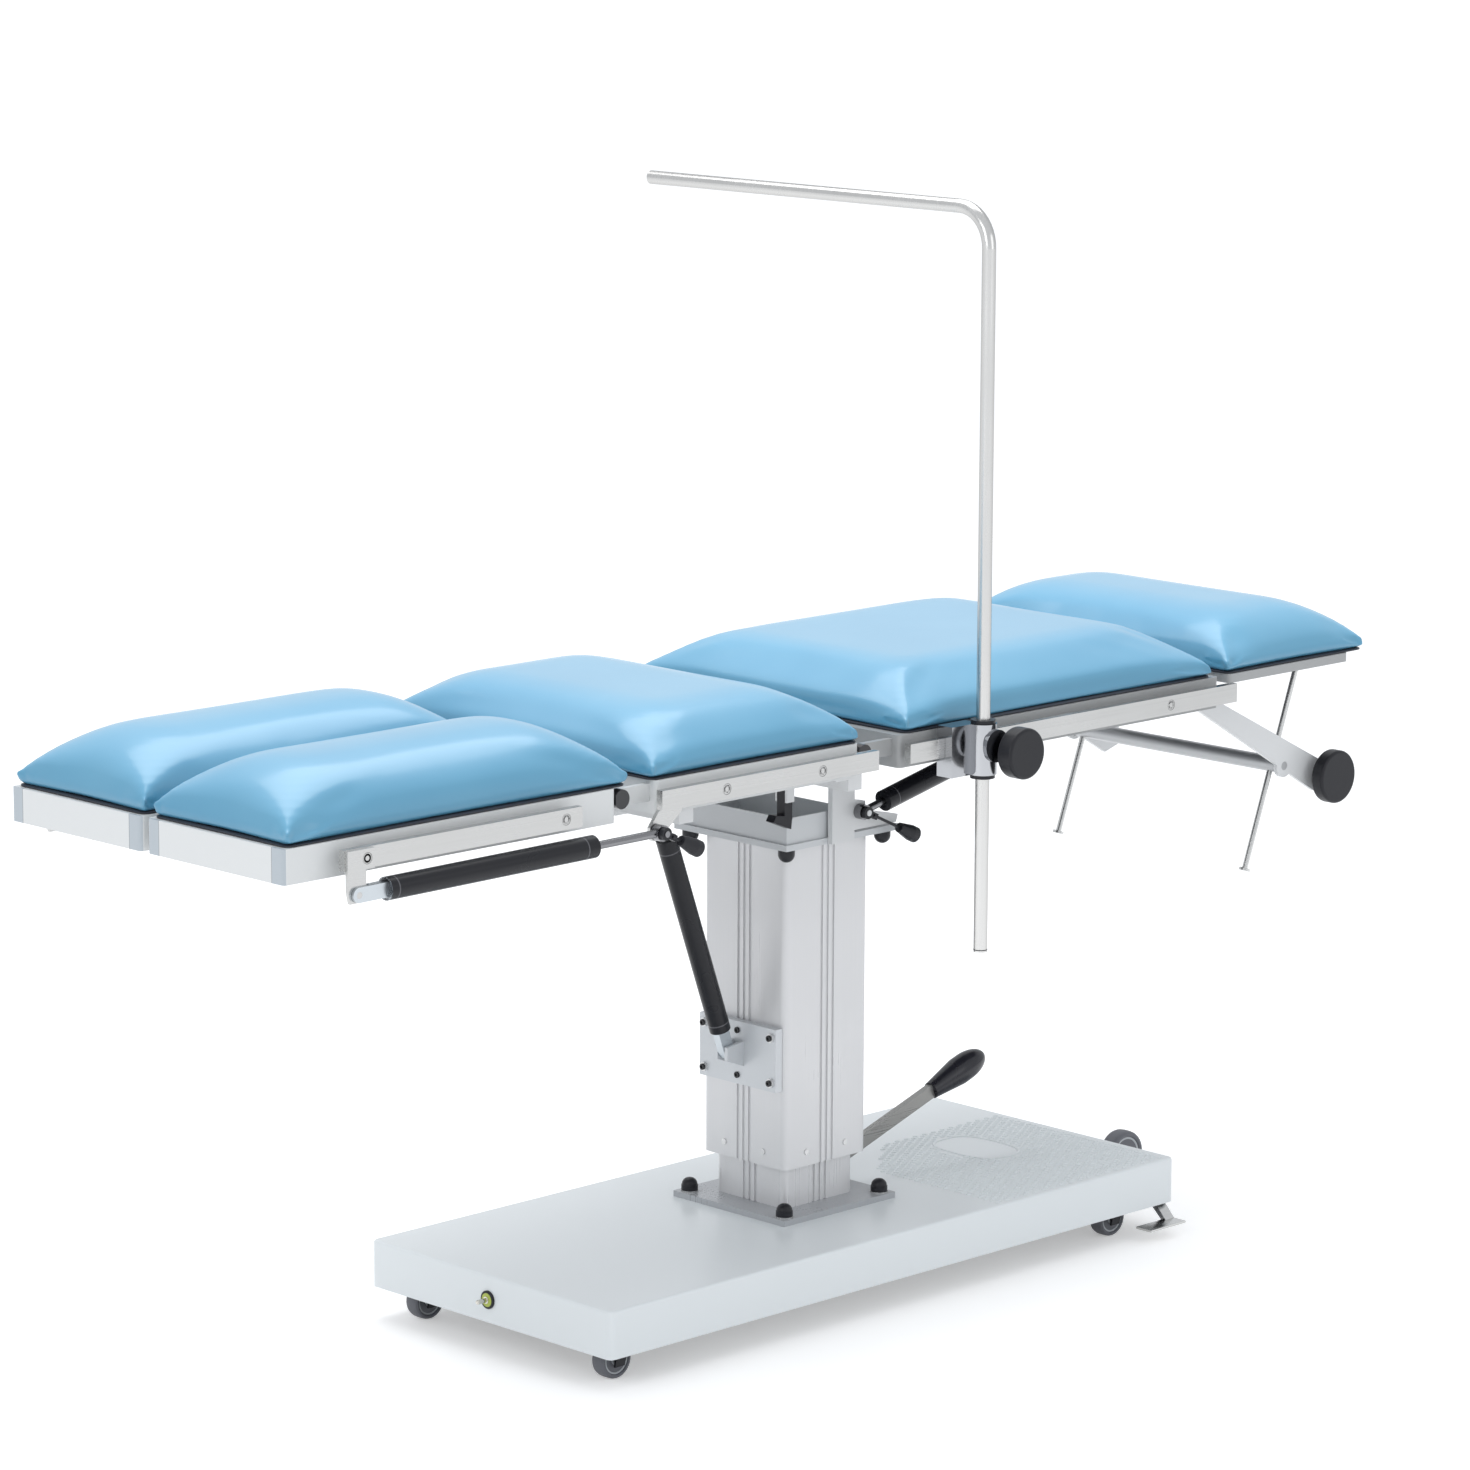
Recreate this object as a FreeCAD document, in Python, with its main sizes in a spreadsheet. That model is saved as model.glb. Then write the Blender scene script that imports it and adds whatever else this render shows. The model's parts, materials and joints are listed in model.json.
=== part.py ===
import FreeCAD, Part
import os
import re
import Sketcher

# Operating table in millimetres. The origin is on the floor under the column's centre.
# +X runs towards the head end, -Y is the side with the screen, +Z is up.

doc = FreeCAD.newDocument("operating_table")
sheet = doc.addObject("Spreadsheet::Sheet", "size")

SIZES = (
    # Frames of the tabletop
    ("table_half", 254, "half the width over the side bars"),
    ("frame_top", 767, "height of the frames' top face"),
    ("frame_deep", 42, "height of a frame bar"),
    ("bar_wide", 22, "width of a frame bar"),
    ("cap_thick", 3, "thickness of a bar's end cap"),
    ("leg_foot_x", -1061, "foot end of the leg frames"),
    ("leg_head_x", -544.5, "head end of the leg frames"),
    ("leg_gap", 5.6, "half the gap between the leg frames"),
    ("seat_foot_x", -477, "foot end of the seat frame"),
    ("seat_head_x", -127, "head end of the seat frame"),
    ("back_foot_x", -54, "foot end of the back frame"),
    ("back_head_x", 563, "head end of the back frame"),
    # Hinges between the sections
    ("hinge_out", 10.5, "from a frame's end to the hinge axis"),
    ("hinge_drop", 15, "from the frame's top to the hinge axis"),
    ("knuckle_radius", 12, "radius of a black hinge knuckle"),
    ("knuckle_wide", 12, "width of a hinge knuckle"),
    ("ear_thick", 8, "thickness of a hinge ear"),
    ("pin_radius", 4, "radius of a hinge pin"),
    ("run_fit", 0.05, "radial clearance of a pin in its bore"),
    ("free_gap", 0.3, "clearance between pieces that move or are soft"),
    # Accessory rails
    ("rail_deep", 25, "height of an accessory rail"),
    ("rail_thick", 10, "thickness of an accessory rail"),
    ("rail_off", 13.6, "gap between a frame and its rail"),
    ("rail_top", 759.5, "height of a rail's top edge"),
    ("spacer_radius", 7, "radius of a rail spacer"),
    ("screw_head", 6.5, "radius of a rail screw's head"),
    ("screw_sink", 3, "depth of a rail screw's head"),
    ("leg_rail_start", 70, "from the leg's foot end to its rail"),
    ("leg_rail_long", 370, "length of a leg rail"),
    ("seat_rail_start", -13, "from the seat's foot end to its rail"),
    ("seat_rail_long", 375, "length of a seat rail"),
    ("back_rail_start", -4, "from the back's foot end to its rail"),
    ("back_rail_long", 632, "length of a back rail"),
    # Cushions
    ("pad_corner", 30, "height of a cushion at its edges"),
    ("pad_crown", 70, "height of a cushion at its middle"),
    ("pad_over", 2, "overhang of a cushion past the side bars"),
    ("leg_pad_reach", 26, "overhang of a leg cushion at the hinge"),
    ("seat_pad_foot", 10, "overhang of the seat cushion at the legs"),
    ("seat_pad_head", 8, "overhang of the seat cushion at the back"),
    ("back_pad_foot", 9, "set-back of the back cushion at the seat"),
    ("back_pad_head", 6, "set-back of the back cushion at the head"),
    ("head_pad_reach", 40, "overhang of the head cushion"),
    # Column
    ("column_half", 76, "half the width of the moving profile"),
    ("column_wall", 6, "wall of the column profiles"),
    ("inner_half", 64, "half the width of the fixed profile"),
    ("column_foot_z", 168, "lower edge of the moving profile"),
    ("column_top_z", 601, "upper edge of the moving profile"),
    ("inner_top_z", 540, "upper edge of the fixed profile"),
    ("corner_round", 9, "corner radius of the column profiles"),
    ("groove_wide", 5, "width of a groove in the profiles"),
    ("groove_pitch", 10.5, "distance between the grooves"),
    ("groove_deep", 2, "depth of a groove"),
    ("plate_half", 103.6, "half the width of the end plates"),
    ("plate_thick", 8, "thickness of the end plates"),
    ("bolt_half", 88.5, "half the spacing of the plate bolts"),
    ("stud_radius", 5, "radius of a plate stud"),
    ("dome_radius", 11, "radius of a nut cap"),
    ("dome_tall", 18, "height of a nut cap"),
    ("anchor_half", 70.5, "half the width of the spring anchor plate"),
    ("anchor_thick", 12, "thickness of the spring anchor plate"),
    ("anchor_foot_z", 274, "lower edge of the spring anchor plate"),
    ("anchor_tall", 84, "height of the spring anchor plate"),
    ("screw_radius", 4, "radius of a small screw's head"),
    ("pad_tall", 50, "height of a guide pad"),
    ("ram_radius", 22, "radius of the lift ram"),
    ("lift_radius", 32, "radius of the lift cylinder"),
    ("lift_top_z", 470, "upper end of the lift cylinder"),
    ("ram_foot_z", 205, "lower end of the lift ram"),
    # Column head and seat subframe
    ("tray_half", 100, "half the width of the tray on the top plate"),
    ("tray_tall", 34, "height of the tray's walls"),
    ("tray_wall", 3, "thickness of the tray's walls"),
    ("tilt_x", -8, "tilt axis along the table"),
    ("tilt_z", 630, "height of the tilt axis"),
    ("post_wide", 41, "width of a post along the table"),
    ("post_thick", 8, "thickness of a post"),
    ("eye_tab_long", 70, "length of a post's tab past the back spring's eye"),
    ("trunnion_radius", 8, "radius of a tilt trunnion"),
    ("beam_wide", 14, "width of a seat beam"),
    ("beam_deep", 30, "height of a seat beam"),
    ("cross_deep", 23, "height of the seat's cross members"),
    # Gas springs
    ("spring_radius", 14, "radius of a gas spring's cylinder"),
    ("rod_radius", 5, "radius of a gas spring's rod"),
    ("eye_radius", 10, "radius of a rod's end eye"),
    ("eye_wide", 12, "width of a rod's end eye"),
    ("spring_pin", 4, "radius of a gas spring's pin"),
    ("tab_thick", 4, "thickness of the bracket plate that carries a leg spring"),
    ("tab_long", 42, "length of the bracket plate along the rail"),
    ("tab_wide", 28, "width of the bracket's hanging part"),
    ("tab_pivot", 15, "from a leg rail's foot end to the fork pivot"),
    ("tab_drop", 28, "from a leg rail's lower edge down to the fork pivot"),
    ("cheek_thick", 5, "thickness of the cheek at a leg spring's eye"),
    ("cheek_pivot", 5.5, "eye pivot ahead of the seat rail's foot end"),
    ("cheek_drop", 25, "from the seat rail's lower edge down to the eye pivot"),
    ("clevis_slot", 4.6, "slot of a leg spring's clevis"),
    ("leg_spring_y", "=table_half + rail_off + rail_thick + tab_thick / 2", "leg spring from the centre line"),
    ("leg_spring_foot_x", "=leg_foot_x + leg_rail_start + tab_pivot", "fork pivot of a leg spring"),
    ("leg_spring_foot_z", "=rail_top - rail_deep - tab_drop", "fork pivot of a leg spring, height"),
    ("leg_spring_eye_x", "=seat_foot_x + seat_rail_start - cheek_pivot", "eye pivot of a leg spring"),
    ("leg_spring_eye_z", "=rail_top - rail_deep - cheek_drop", "eye pivot of a leg spring, height"),
    ("leg_tube_long", 325, "length of a leg spring's cylinder"),
    ("leg_fork", 45, "length of a leg spring's fork end"),
    ("leg_stroke", 95, "travel of a leg spring"),
    ("leg_stalk", 25, "pivot of a leg release to its grip"),
    ("leg_handle_lean", 26, "lean of a leg release in degrees"),
    ("tilt_spring_foot_x", -108, "fork pivot of the tilt spring"),
    ("tilt_spring_foot_z", 320, "fork pivot of the tilt spring, height"),
    ("tilt_spring_eye_x", -247, "eye pivot of the tilt spring"),
    ("tilt_spring_eye_z", 700, "eye pivot of the tilt spring, height"),
    ("tilt_tube_long", 284, "length of the tilt spring's cylinder"),
    ("tilt_fork", 35, "length of the tilt spring's fork end"),
    ("tilt_stroke", 45, "travel of the tilt spring"),
    ("back_spring_y", 118.3, "distance of the back spring from the centre line"),
    ("back_spring_eye_x", 20, "eye pivot of the back spring"),
    ("back_spring_eye_z", 638.7, "eye pivot of the back spring, height"),
    ("back_spring_foot_x", 377, "fork pivot of the back spring"),
    ("back_spring_foot_z", 719, "fork pivot of the back spring, height"),
    ("back_tube_long", 300, "length of the back spring's cylinder"),
    ("back_fork", 26, "length of the back spring's fork end"),
    ("back_stroke", 180, "travel of the back spring"),
    ("back_stalk", 62, "pivot of the back release to its grip"),
    ("back_handle_lean", 25.5, "lean of the back release in degrees"),
    ("lever_thick", 6, "thickness of a release lever's arm"),
    ("handle_radius", 10.5, "radius of a release handle's end"),
    ("handle_long", 33, "length of a release handle"),
    # Head section
    ("head_hinge_x", 575, "head hinge along the table"),
    ("head_hinge_z", 761, "height of the head hinge"),
    ("head_bar_deep", 12, "height of a head frame bar"),
    ("head_bar_top", 767, "height of the head frame's top face"),
    ("head_end_x", 836, "head end of the head frame"),
    ("guide_x", 826, "upper pivot of the guide rods"),
    ("guide_z", 746, "upper pivot of the guide rods, height"),
    ("guide_lean", 20.4, "lean of the guide rods in degrees"),
    ("guide_y", 173, "distance of a guide rod from the centre line"),
    ("guide_long", 296, "length of a guide rod"),
    ("guide_radius", 4, "radius of a guide rod"),
    ("tube_radius", 11, "radius of the cross tube"),
    ("arm_y", 190, "inner face of an arm"),
    ("arm_thick", 6, "thickness of an arm"),
    ("knob_radius", 37, "radius of the head knob"),
    ("knob_thick", 20, "thickness of the head knob"),
    ("knob_x", 852, "head knob along the table"),
    ("knob_z", 587, "height of the head knob"),
    # Base
    ("base_half_long", 526, "half the length of the base cover"),
    ("base_half_wide", 224.6, "half the width of the base cover"),
    ("base_foot_z", 42, "lower edge of the base cover"),
    ("base_top_z", 104, "top face of the base cover"),
    ("cover_wall", 3, "wall of the base cover"),
    ("cover_round", 8, "corner radius of the base cover"),
    ("edge_round", 4, "edge radius of the base cover"),
    ("chassis_wide", 40, "width of a chassis rail"),
    ("chassis_foot_z", 66, "lower face of the chassis"),
    ("caster_in_x", 64, "caster swivel from the end of the base cover"),
    ("caster_in_y", 49.6, "caster swivel from the side of the base cover"),
    ("caster_x", "=base_half_long - caster_in_x", "caster swivel along the base"),
    ("caster_y", "=base_half_wide - caster_in_y", "caster swivel across the base"),
    ("caster_radius", 25, "radius of a caster wheel"),
    ("caster_wide", 22, "width of a caster wheel"),
    ("caster_trail", 16, "trail of a caster"),
    ("axle_radius", 4, "radius of a caster axle"),
    ("stem_radius", 9, "radius of a caster's swivel stem"),
    ("transport_out", 146, "axle of the transport wheel past the base cover"),
    ("transport_x", "=base_half_long + transport_out", "axle of the transport wheel"),
    ("transport_radius", 35, "radius of the transport wheel"),
    ("transport_wide", 24, "width of the transport wheel"),
    ("floor_gap", 1, "transport wheel above the floor"),
    ("pump_inset", 4, "pivot of the foot pump from the plate's edge"),
    ("pump_x", "=plate_half - pump_inset", "pivot of the foot pump"),
    ("pump_rise", 26, "pivot of the foot pump above the foot plate"),
    ("pump_z", "=base_top_z + plate_thick + pump_rise", "pivot of the foot pump, height"),
    ("pump_long", 191, "pivot to the grip's start"),
    ("pump_lean", 18.5, "slope of the foot lever in degrees"),
    ("pump_cheek", 6, "thickness of a cheek at the pump's pivot"),
    ("lever_wide", 10, "thickness of the foot lever's bar"),
    ("lever_tall", 18, "height of the foot lever's bar"),
    ("grip_long", 107, "length of the foot grip"),
    ("grip_radius", 19, "radius of the foot grip at its thick end"),
    ("grip_neck", 13, "radius of the foot grip at its thin end"),
    ("pedal_thick", 3, "thickness of the brake pedal's plate"),
    ("pedal_z", 18, "height of the brake pedal"),
    ("pedal_wide", 27, "reach of the brake pedal past the base cover"),
    ("pedal_long", 72, "length of the brake pedal along the base"),
    ("bond_radius", 3, "radius of the bonding pin"),
    ("bond_z", 72, "height of the bonding pin"),
    # Screen
    ("pole_x", 58, "screen pole along the table"),
    ("pole_radius", 9, "radius of the screen tube"),
    ("pole_off", 16, "from the rail's face to the pole's axis"),
    ("pole_foot_z", 477, "lower end of the screen pole"),
    ("screen_z", 1427, "height of the screen's cross tube"),
    ("screen_bend", 50, "bend radius of the screen tube"),
    ("screen_reach", 611, "length of the cross tube from the pole"),
    ("sleeve_radius", 13, "radius of the clamp's sleeve"),
    ("clamp_knob_radius", 33, "radius of the clamp knob"),
    ("clamp_knob_thick", 24, "thickness of the clamp knob"),
    ("clamp_knob_z", 737, "height of the clamp knob"),
    ("clamp_reach", 53, "rail clamp's length from the pole towards the foot end"),
    ("clamp_disc_radius", 21, "radius of the clamp's round cap"),
    ("clamp_knob_x", 30, "clamp knob from the pole"),
)

for row, (alias, number, note) in enumerate(SIZES, 1):
    sheet.set("A%d" % row, note)
    sheet.set("B%d" % row, str(number))
    sheet.setAlias("B%d" % row, alias)
doc.recompute()

ALIASES = re.compile(r"\b(" + "|".join(alias for alias, number, note in SIZES) + r")\b")
X_AXIS = FreeCAD.Vector(1, 0, 0)
Y_AXIS = FreeCAD.Vector(0, 1, 0)
Z_AXIS = FreeCAD.Vector(0, 0, 1)
NEAR = -1
FAR = 1
pieces = []


def link(words):
    """Turns the sheet's names in an expression into links to its cells."""
    return ALIASES.sub(r"size.\1", str(words))


def bind(thing, prop, words):
    thing.setExpression(prop, link(words))


def put(thing, x="0", y="0", z="0"):
    for axis, words in (("x", x), ("y", y), ("z", z)):
        bind(thing, ".Placement.Base." + axis, words)
    return thing


def turn(thing, axis, angle):
    """Turns a piece about an axis by an angle that the sheet gives."""
    thing.Placement = FreeCAD.Placement(FreeCAD.Vector(), FreeCAD.Rotation(axis, 10))
    bind(thing, ".Placement.Rotation.Angle", angle)
    return thing


def box(x0, x1, y0, y1, z0, z1):
    block = doc.addObject("Part::Box", "block")
    bind(block, "Length", "(%s)-(%s)" % (x1, x0))
    bind(block, "Width", "(%s)-(%s)" % (y1, y0))
    bind(block, "Height", "(%s)-(%s)" % (z1, z0))
    return put(block, x0, y0, z0)


def round_bar(axis, radius, start, end, first, second):
    """A cylinder along an axis, from start to end, at the two other coordinates."""
    bar = doc.addObject("Part::Cylinder", "bar")
    bind(bar, "Radius", radius)
    bind(bar, "Height", "(%s)-(%s)" % (end, start))
    if axis == "x":
        bar.Placement = FreeCAD.Placement(FreeCAD.Vector(), FreeCAD.Rotation(Y_AXIS, 90))
        return put(bar, start, first, second)
    if axis == "y":
        bar.Placement = FreeCAD.Placement(FreeCAD.Vector(), FreeCAD.Rotation(X_AXIS, -90))
        return put(bar, first, start, second)
    return put(bar, first, second, start)


def taper(axis, radius, end_radius, start, end, first, second):
    bar = doc.addObject("Part::Cone", "taper")
    bind(bar, "Radius1", radius)
    bind(bar, "Radius2", end_radius)
    bind(bar, "Height", "(%s)-(%s)" % (end, start))
    if axis == "x":
        bar.Placement = FreeCAD.Placement(FreeCAD.Vector(), FreeCAD.Rotation(Y_AXIS, 90))
        return put(bar, start, first, second)
    if axis == "y":
        bar.Placement = FreeCAD.Placement(FreeCAD.Vector(), FreeCAD.Rotation(X_AXIS, -90))
        return put(bar, first, start, second)
    return put(bar, first, second, start)


def ball(radius, x, y, z):
    globe = doc.addObject("Part::Sphere", "ball")
    bind(globe, "Radius", radius)
    return put(globe, x, y, z)


def joined(*things):
    if len(things) == 1:
        return things[0]
    union = doc.addObject("Part::MultiFuse", "union")
    union.Shapes = list(things)
    union.Refine = True
    return union


def without(base, *tools):
    rest = doc.addObject("Part::Cut", "rest")
    rest.Base = base
    rest.Tool = joined(*tools)
    return rest


def overlap(base, tool):
    shared = doc.addObject("Part::Common", "shared")
    shared.Base = base
    shared.Tool = tool
    return shared


def several(*things):
    """Separate solids that share a node."""
    cluster = doc.addObject("Part::Compound", "cluster")
    cluster.Links = list(things)
    return cluster


def piece(name, thing):
    thing.Label = name
    pieces.append(thing)
    return thing


def span(side, near, far):
    """Limits in Y, nearer and farther from the centre line, on one side of it."""
    if side == FAR:
        return near, far
    return "-(%s)" % far, "-(%s)" % near


def at(side, distance):
    return "%d*(%s)" % (side, distance)


# Sketches


def sketch(body, role, offset):
    plane = [origin for origin in body.Origin.OriginFeatures if origin.Role == role][0]
    drawing = body.newObject("Sketcher::SketchObject", "sketch")
    drawing.AttachmentSupport = [(plane, "")]
    drawing.MapMode = "FlatFace"
    bind(drawing, ".AttachmentOffset.Base.z", offset)
    return drawing


def fix_point(drawing, line, point, horizontal, vertical):
    for kind, words in (("DistanceX", horizontal), ("DistanceY", vertical)):
        number = drawing.addConstraint(Sketcher.Constraint(kind, -1, 1, line, point, 1.0))
        bind(drawing, "Constraints[%d]" % number, words)


def outline(drawing, corners):
    """A closed outline of straight edges through corners that the sheet gives."""
    first = drawing.GeometryCount
    count = len(corners)
    for index in range(count):
        start = FreeCAD.Vector(10 + index, 10 + index * index, 0)
        after = (index + 1) % count
        end = FreeCAD.Vector(10 + after, 10 + after * after, 0)
        drawing.addGeometry(Part.LineSegment(start, end), False)
    for index in range(count):
        after = first + (index + 1) % count
        drawing.addConstraint(Sketcher.Constraint("Coincident", first + index, 2, after, 1))
    for index, (horizontal, vertical) in enumerate(corners):
        fix_point(drawing, first + index, 1, horizontal, vertical)


def circle(drawing, radius, horizontal, vertical):
    ring = drawing.addGeometry(Part.Circle(FreeCAD.Vector(10, 10, 0), Z_AXIS, 5), False)
    fix_point(drawing, ring, 3, horizontal, vertical)
    number = drawing.addConstraint(Sketcher.Constraint("Radius", ring, 5))
    bind(drawing, "Constraints[%d]" % number, radius)


def new_body(name):
    return doc.addObject("PartDesign::Body", name)


def pad(body, drawing, length):
    boss = body.newObject("PartDesign::Pad", "pad")
    boss.Profile = drawing
    bind(boss, "Length", length)
    doc.recompute()
    drawing.Visibility = False
    return boss


def plate(name, role, offset, length, corners, holes=()):
    """A flat piece: an outline with round holes, padded to its thickness."""
    body = new_body(name)
    drawing = sketch(body, role, offset)
    outline(drawing, corners)
    for radius, horizontal, vertical in holes:
        circle(drawing, radius, horizontal, vertical)
    pad(body, drawing, length)
    return body


def rounded(body, feature, radius, picks):
    """Rounds the edges of a body's last feature that a test picks."""
    names = []
    for number, edge in enumerate(feature.Shape.Edges, 1):
        if picks(edge):
            names.append("Edge%d" % number)
    fillet = body.newObject("PartDesign::Fillet", "fillet")
    fillet.Base = (feature, names)
    bind(fillet, "Radius", radius)
    doc.recompute()
    return fillet


def is_upright(edge):
    return abs(edge.BoundBox.ZLength) > 1 and edge.BoundBox.XLength < 0.01 and edge.BoundBox.YLength < 0.01


def is_ring(edge):
    return isinstance(edge.Curve, Part.Circle)


def square(half_x, half_y):
    return [("-(%s)" % half_x, "-(%s)" % half_y), (half_x, "-(%s)" % half_y),
            (half_x, half_y), ("-(%s)" % half_x, half_y)]


FRAME_FOOT = "(frame_top - frame_deep)"
HINGE_Z = "(frame_top - hinge_drop)"
LEG_HINGE_X = "(leg_head_x + hinge_out)"
BACK_HINGE_X = "(seat_head_x + hinge_out)"
BAR_IN = "(table_half - bar_wide)"
RAIL_IN = "(table_half + rail_off)"
RAIL_OUT = "(table_half + rail_off + rail_thick)"
PAD_FOOT = "(frame_top + free_gap)"
RAIL_Z = "(rail_top - rail_deep / 2)"
CHASSIS_TOP = "(base_top_z - cover_wall)"
PLATE_TOP = "(base_top_z + plate_thick)"
TRAY_FOOT = "(column_top_z + plate_thick)"
POLE_Y = "(-(table_half + rail_off + rail_thick + pole_off))"
TRAIL_X = "(-caster_trail)"


def plate_y(name, near, far, corners, holes=()):
    """A plate across Y, drawn in XZ. The sketch plane faces -Y."""
    return plate(name, "XZ_Plane", "-(%s)" % far, "(%s)-(%s)" % (far, near), corners, holes)


def plate_z(name, low, high, corners, holes=()):
    return plate(name, "XY_Plane", low, "(%s)-(%s)" % (high, low), corners, holes)


def plate_x(name, foot, head, corners, holes=()):
    return plate(name, "YZ_Plane", foot, "(%s)-(%s)" % (head, foot), corners, holes)


def rectangle(x0, x1, y0, y1):
    return [(x0, y0), (x1, y0), (x1, y1), (x0, y1)]


def soft_block(name, x0, x1, y0, y1, z0, z1, radius):
    """A block with rounded upright edges."""
    body = new_body(name)
    drawing = sketch(body, "XY_Plane", z0)
    outline(drawing, rectangle(x0, x1, y0, y1))
    boss = pad(body, drawing, "(%s)-(%s)" % (z1, z0))
    rounded(body, boss, radius, is_upright)
    return body


# Base


def base_cover():
    shell = new_body("cover_shell")
    drawing = sketch(shell, "XY_Plane", "base_foot_z")
    outline(drawing, square("base_half_long", "base_half_wide"))
    boss = pad(shell, drawing, "base_top_z - base_foot_z")
    upright = rounded(shell, boss, "cover_round", is_upright)
    top = FreeCAD.Vector(0, 0, upright.Shape.BoundBox.ZMax)
    rounded(shell, upright, "edge_round", lambda edge: edge.BoundBox.ZMin > top.z - 0.01)
    inside = soft_block("cover_inside", "cover_wall - base_half_long", "base_half_long - cover_wall",
                        "cover_wall - base_half_wide", "base_half_wide - cover_wall",
                        "base_foot_z - 1", CHASSIS_TOP, "cover_round - cover_wall")
    holes = [round_bar("z", "stud_radius + free_gap", "base_foot_z", "base_top_z + 1",
                       at(side, "bolt_half"), at(row, "bolt_half")) for side in (-1, 1) for row in (-1, 1)]
    pin = round_bar("x", "bond_radius + free_gap", "-(base_half_long + 1)", "-(base_half_long - cover_wall - 1)",
                    "0", "bond_z")
    piece("base_cover", without(shell, inside, pin, *holes))


def tube_bar(x0, x1, y0, y1, wall, axis):
    """A rectangular tube of the chassis, along x or y."""
    outer = box(x0, x1, y0, y1, "chassis_foot_z", CHASSIS_TOP)
    inset = ("(%s)+%s" % (x0, wall), "(%s)-%s" % (x1, wall), "(%s)+%s" % (y0, wall), "(%s)-%s" % (y1, wall))
    low = "chassis_foot_z + %s" % wall
    high = "%s - %s" % (CHASSIS_TOP, wall)
    if axis == "x":
        return outer, box(x0, x1, inset[2], inset[3], low, high)
    return outer, box(inset[0], inset[1], y0, y1, low, high)


def base_chassis():
    tubes = []
    hollows = []
    sockets = []
    bores = []
    for side in (NEAR, FAR):
        near, far = span(side, "bolt_half - chassis_wide / 2", "bolt_half + chassis_wide / 2")
        tube, hollow = tube_bar("-(caster_x)", "caster_x", near, far, "cover_wall", "x")
        tubes.append(tube)
        hollows.append(hollow)
    for end in (-1, 1):
        middle = at(end, "caster_x")
        tube, hollow = tube_bar("%s - chassis_wide / 2" % middle, "%s + chassis_wide / 2" % middle,
                                "-(caster_y + stem_radius * 2)", "caster_y + stem_radius * 2", "cover_wall", "y")
        tubes.append(tube)
        hollows.append(hollow)
        for side in (NEAR, FAR):
            sockets.append(round_bar("z", "stem_radius + 5", "chassis_foot_z", CHASSIS_TOP,
                                     middle, at(side, "caster_y")))
            bores.append(round_bar("z", "stem_radius + run_fit", "chassis_foot_z - 1", "chassis_foot_z + 26",
                                   middle, at(side, "caster_y")))
    for end in (-1, 1):
        for side in (NEAR, FAR):
            bores.append(round_bar("z", "stud_radius + free_gap", "chassis_foot_z + 10", "base_top_z",
                                   at(end, "bolt_half"), at(side, "bolt_half")))
    cheeks = []
    corners = [("caster_x - 17", "chassis_foot_z"), ("caster_x + 18", "chassis_foot_z"),
               ("base_half_long - 12", "base_foot_z - 2"), ("transport_x + 12", "base_foot_z + 2"),
               ("transport_x + 12", "transport_radius - 8"), ("base_half_long - 20", "base_foot_z - 16"),
               ("caster_x - 17", "base_foot_z + 8")]
    for side in (NEAR, FAR):
        near, far = span(side, "transport_wide / 2 + 1", "transport_wide / 2 + 6")
        cheeks.append(plate_y("transport_cheek", near, far, corners))
    axle = round_bar("y", "axle_radius", "-(transport_wide / 2 + 6)", "transport_wide / 2 + 6",
                     "transport_x", "transport_radius + floor_gap")
    shoulder = box("caster_x + chassis_wide / 2", "caster_x + chassis_wide / 2 + 20",
                   "-(caster_y + 25)", "-(caster_y + 5)", "chassis_foot_z", CHASSIS_TOP)
    lug = box("caster_x + chassis_wide / 2 + stem_radius", "caster_x + chassis_wide / 2 + 20",
              "-(caster_y + 25)", "-(caster_y + 5)", "base_foot_z + 10", CHASSIS_TOP)
    pin = round_bar("x", "axle_radius", "caster_x + chassis_wide / 2 + 10", "base_half_long - 5",
                    "-(caster_y + 15)", "base_foot_z + 18")
    hollow_frame = without(joined(*tubes), *hollows)
    whole = joined(hollow_frame, *(sockets + cheeks + [axle, shoulder, lug, pin]))
    piece("base_chassis", without(whole, *bores))


def profile_tube(name, half, low, high):
    """A square column profile with rounded corners and three grooves in each face."""
    outer = soft_block(name, "-" + half, half, "-" + half, half, low, high, "corner_round")
    cuts = [box("column_wall - " + half, "%s - column_wall" % half, "column_wall - " + half,
                "%s - column_wall" % half, "(%s) - 1" % low, "(%s) + 1" % high)]
    for line in (-1, 0, 1):
        start = "%d * groove_pitch - groove_wide / 2" % line
        end = "%d * groove_pitch + groove_wide / 2" % line
        for side in (NEAR, FAR):
            near, far = span(side, "%s - groove_deep" % half, "%s + 1" % half)
            cuts.append(box(start, end, near, far, "(%s) - 1" % low, "(%s) + 1" % high))
            cuts.append(box(near, far, start, end, "(%s) - 1" % low, "(%s) + 1" % high))
    return without(outer, *cuts)


def column_fixed():
    tube = profile_tube("inner_profile", "inner_half", PLATE_TOP, "inner_top_z")
    foot = plate_z("foot_plate", "base_top_z", PLATE_TOP, square("plate_half", "plate_half"),
                   [("stud_radius + free_gap", at(end, "bolt_half"), at(side, "bolt_half"))
                    for end in (-1, 1) for side in (-1, 1)])
    piece("column_fixed_tube", joined(foot, tube))
    piece("column_nut_caps", several(*[dome(end, side, PLATE_TOP, "chassis_foot_z + 16", 1)
                                       for end in (-1, 1) for side in (-1, 1)]))


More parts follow.
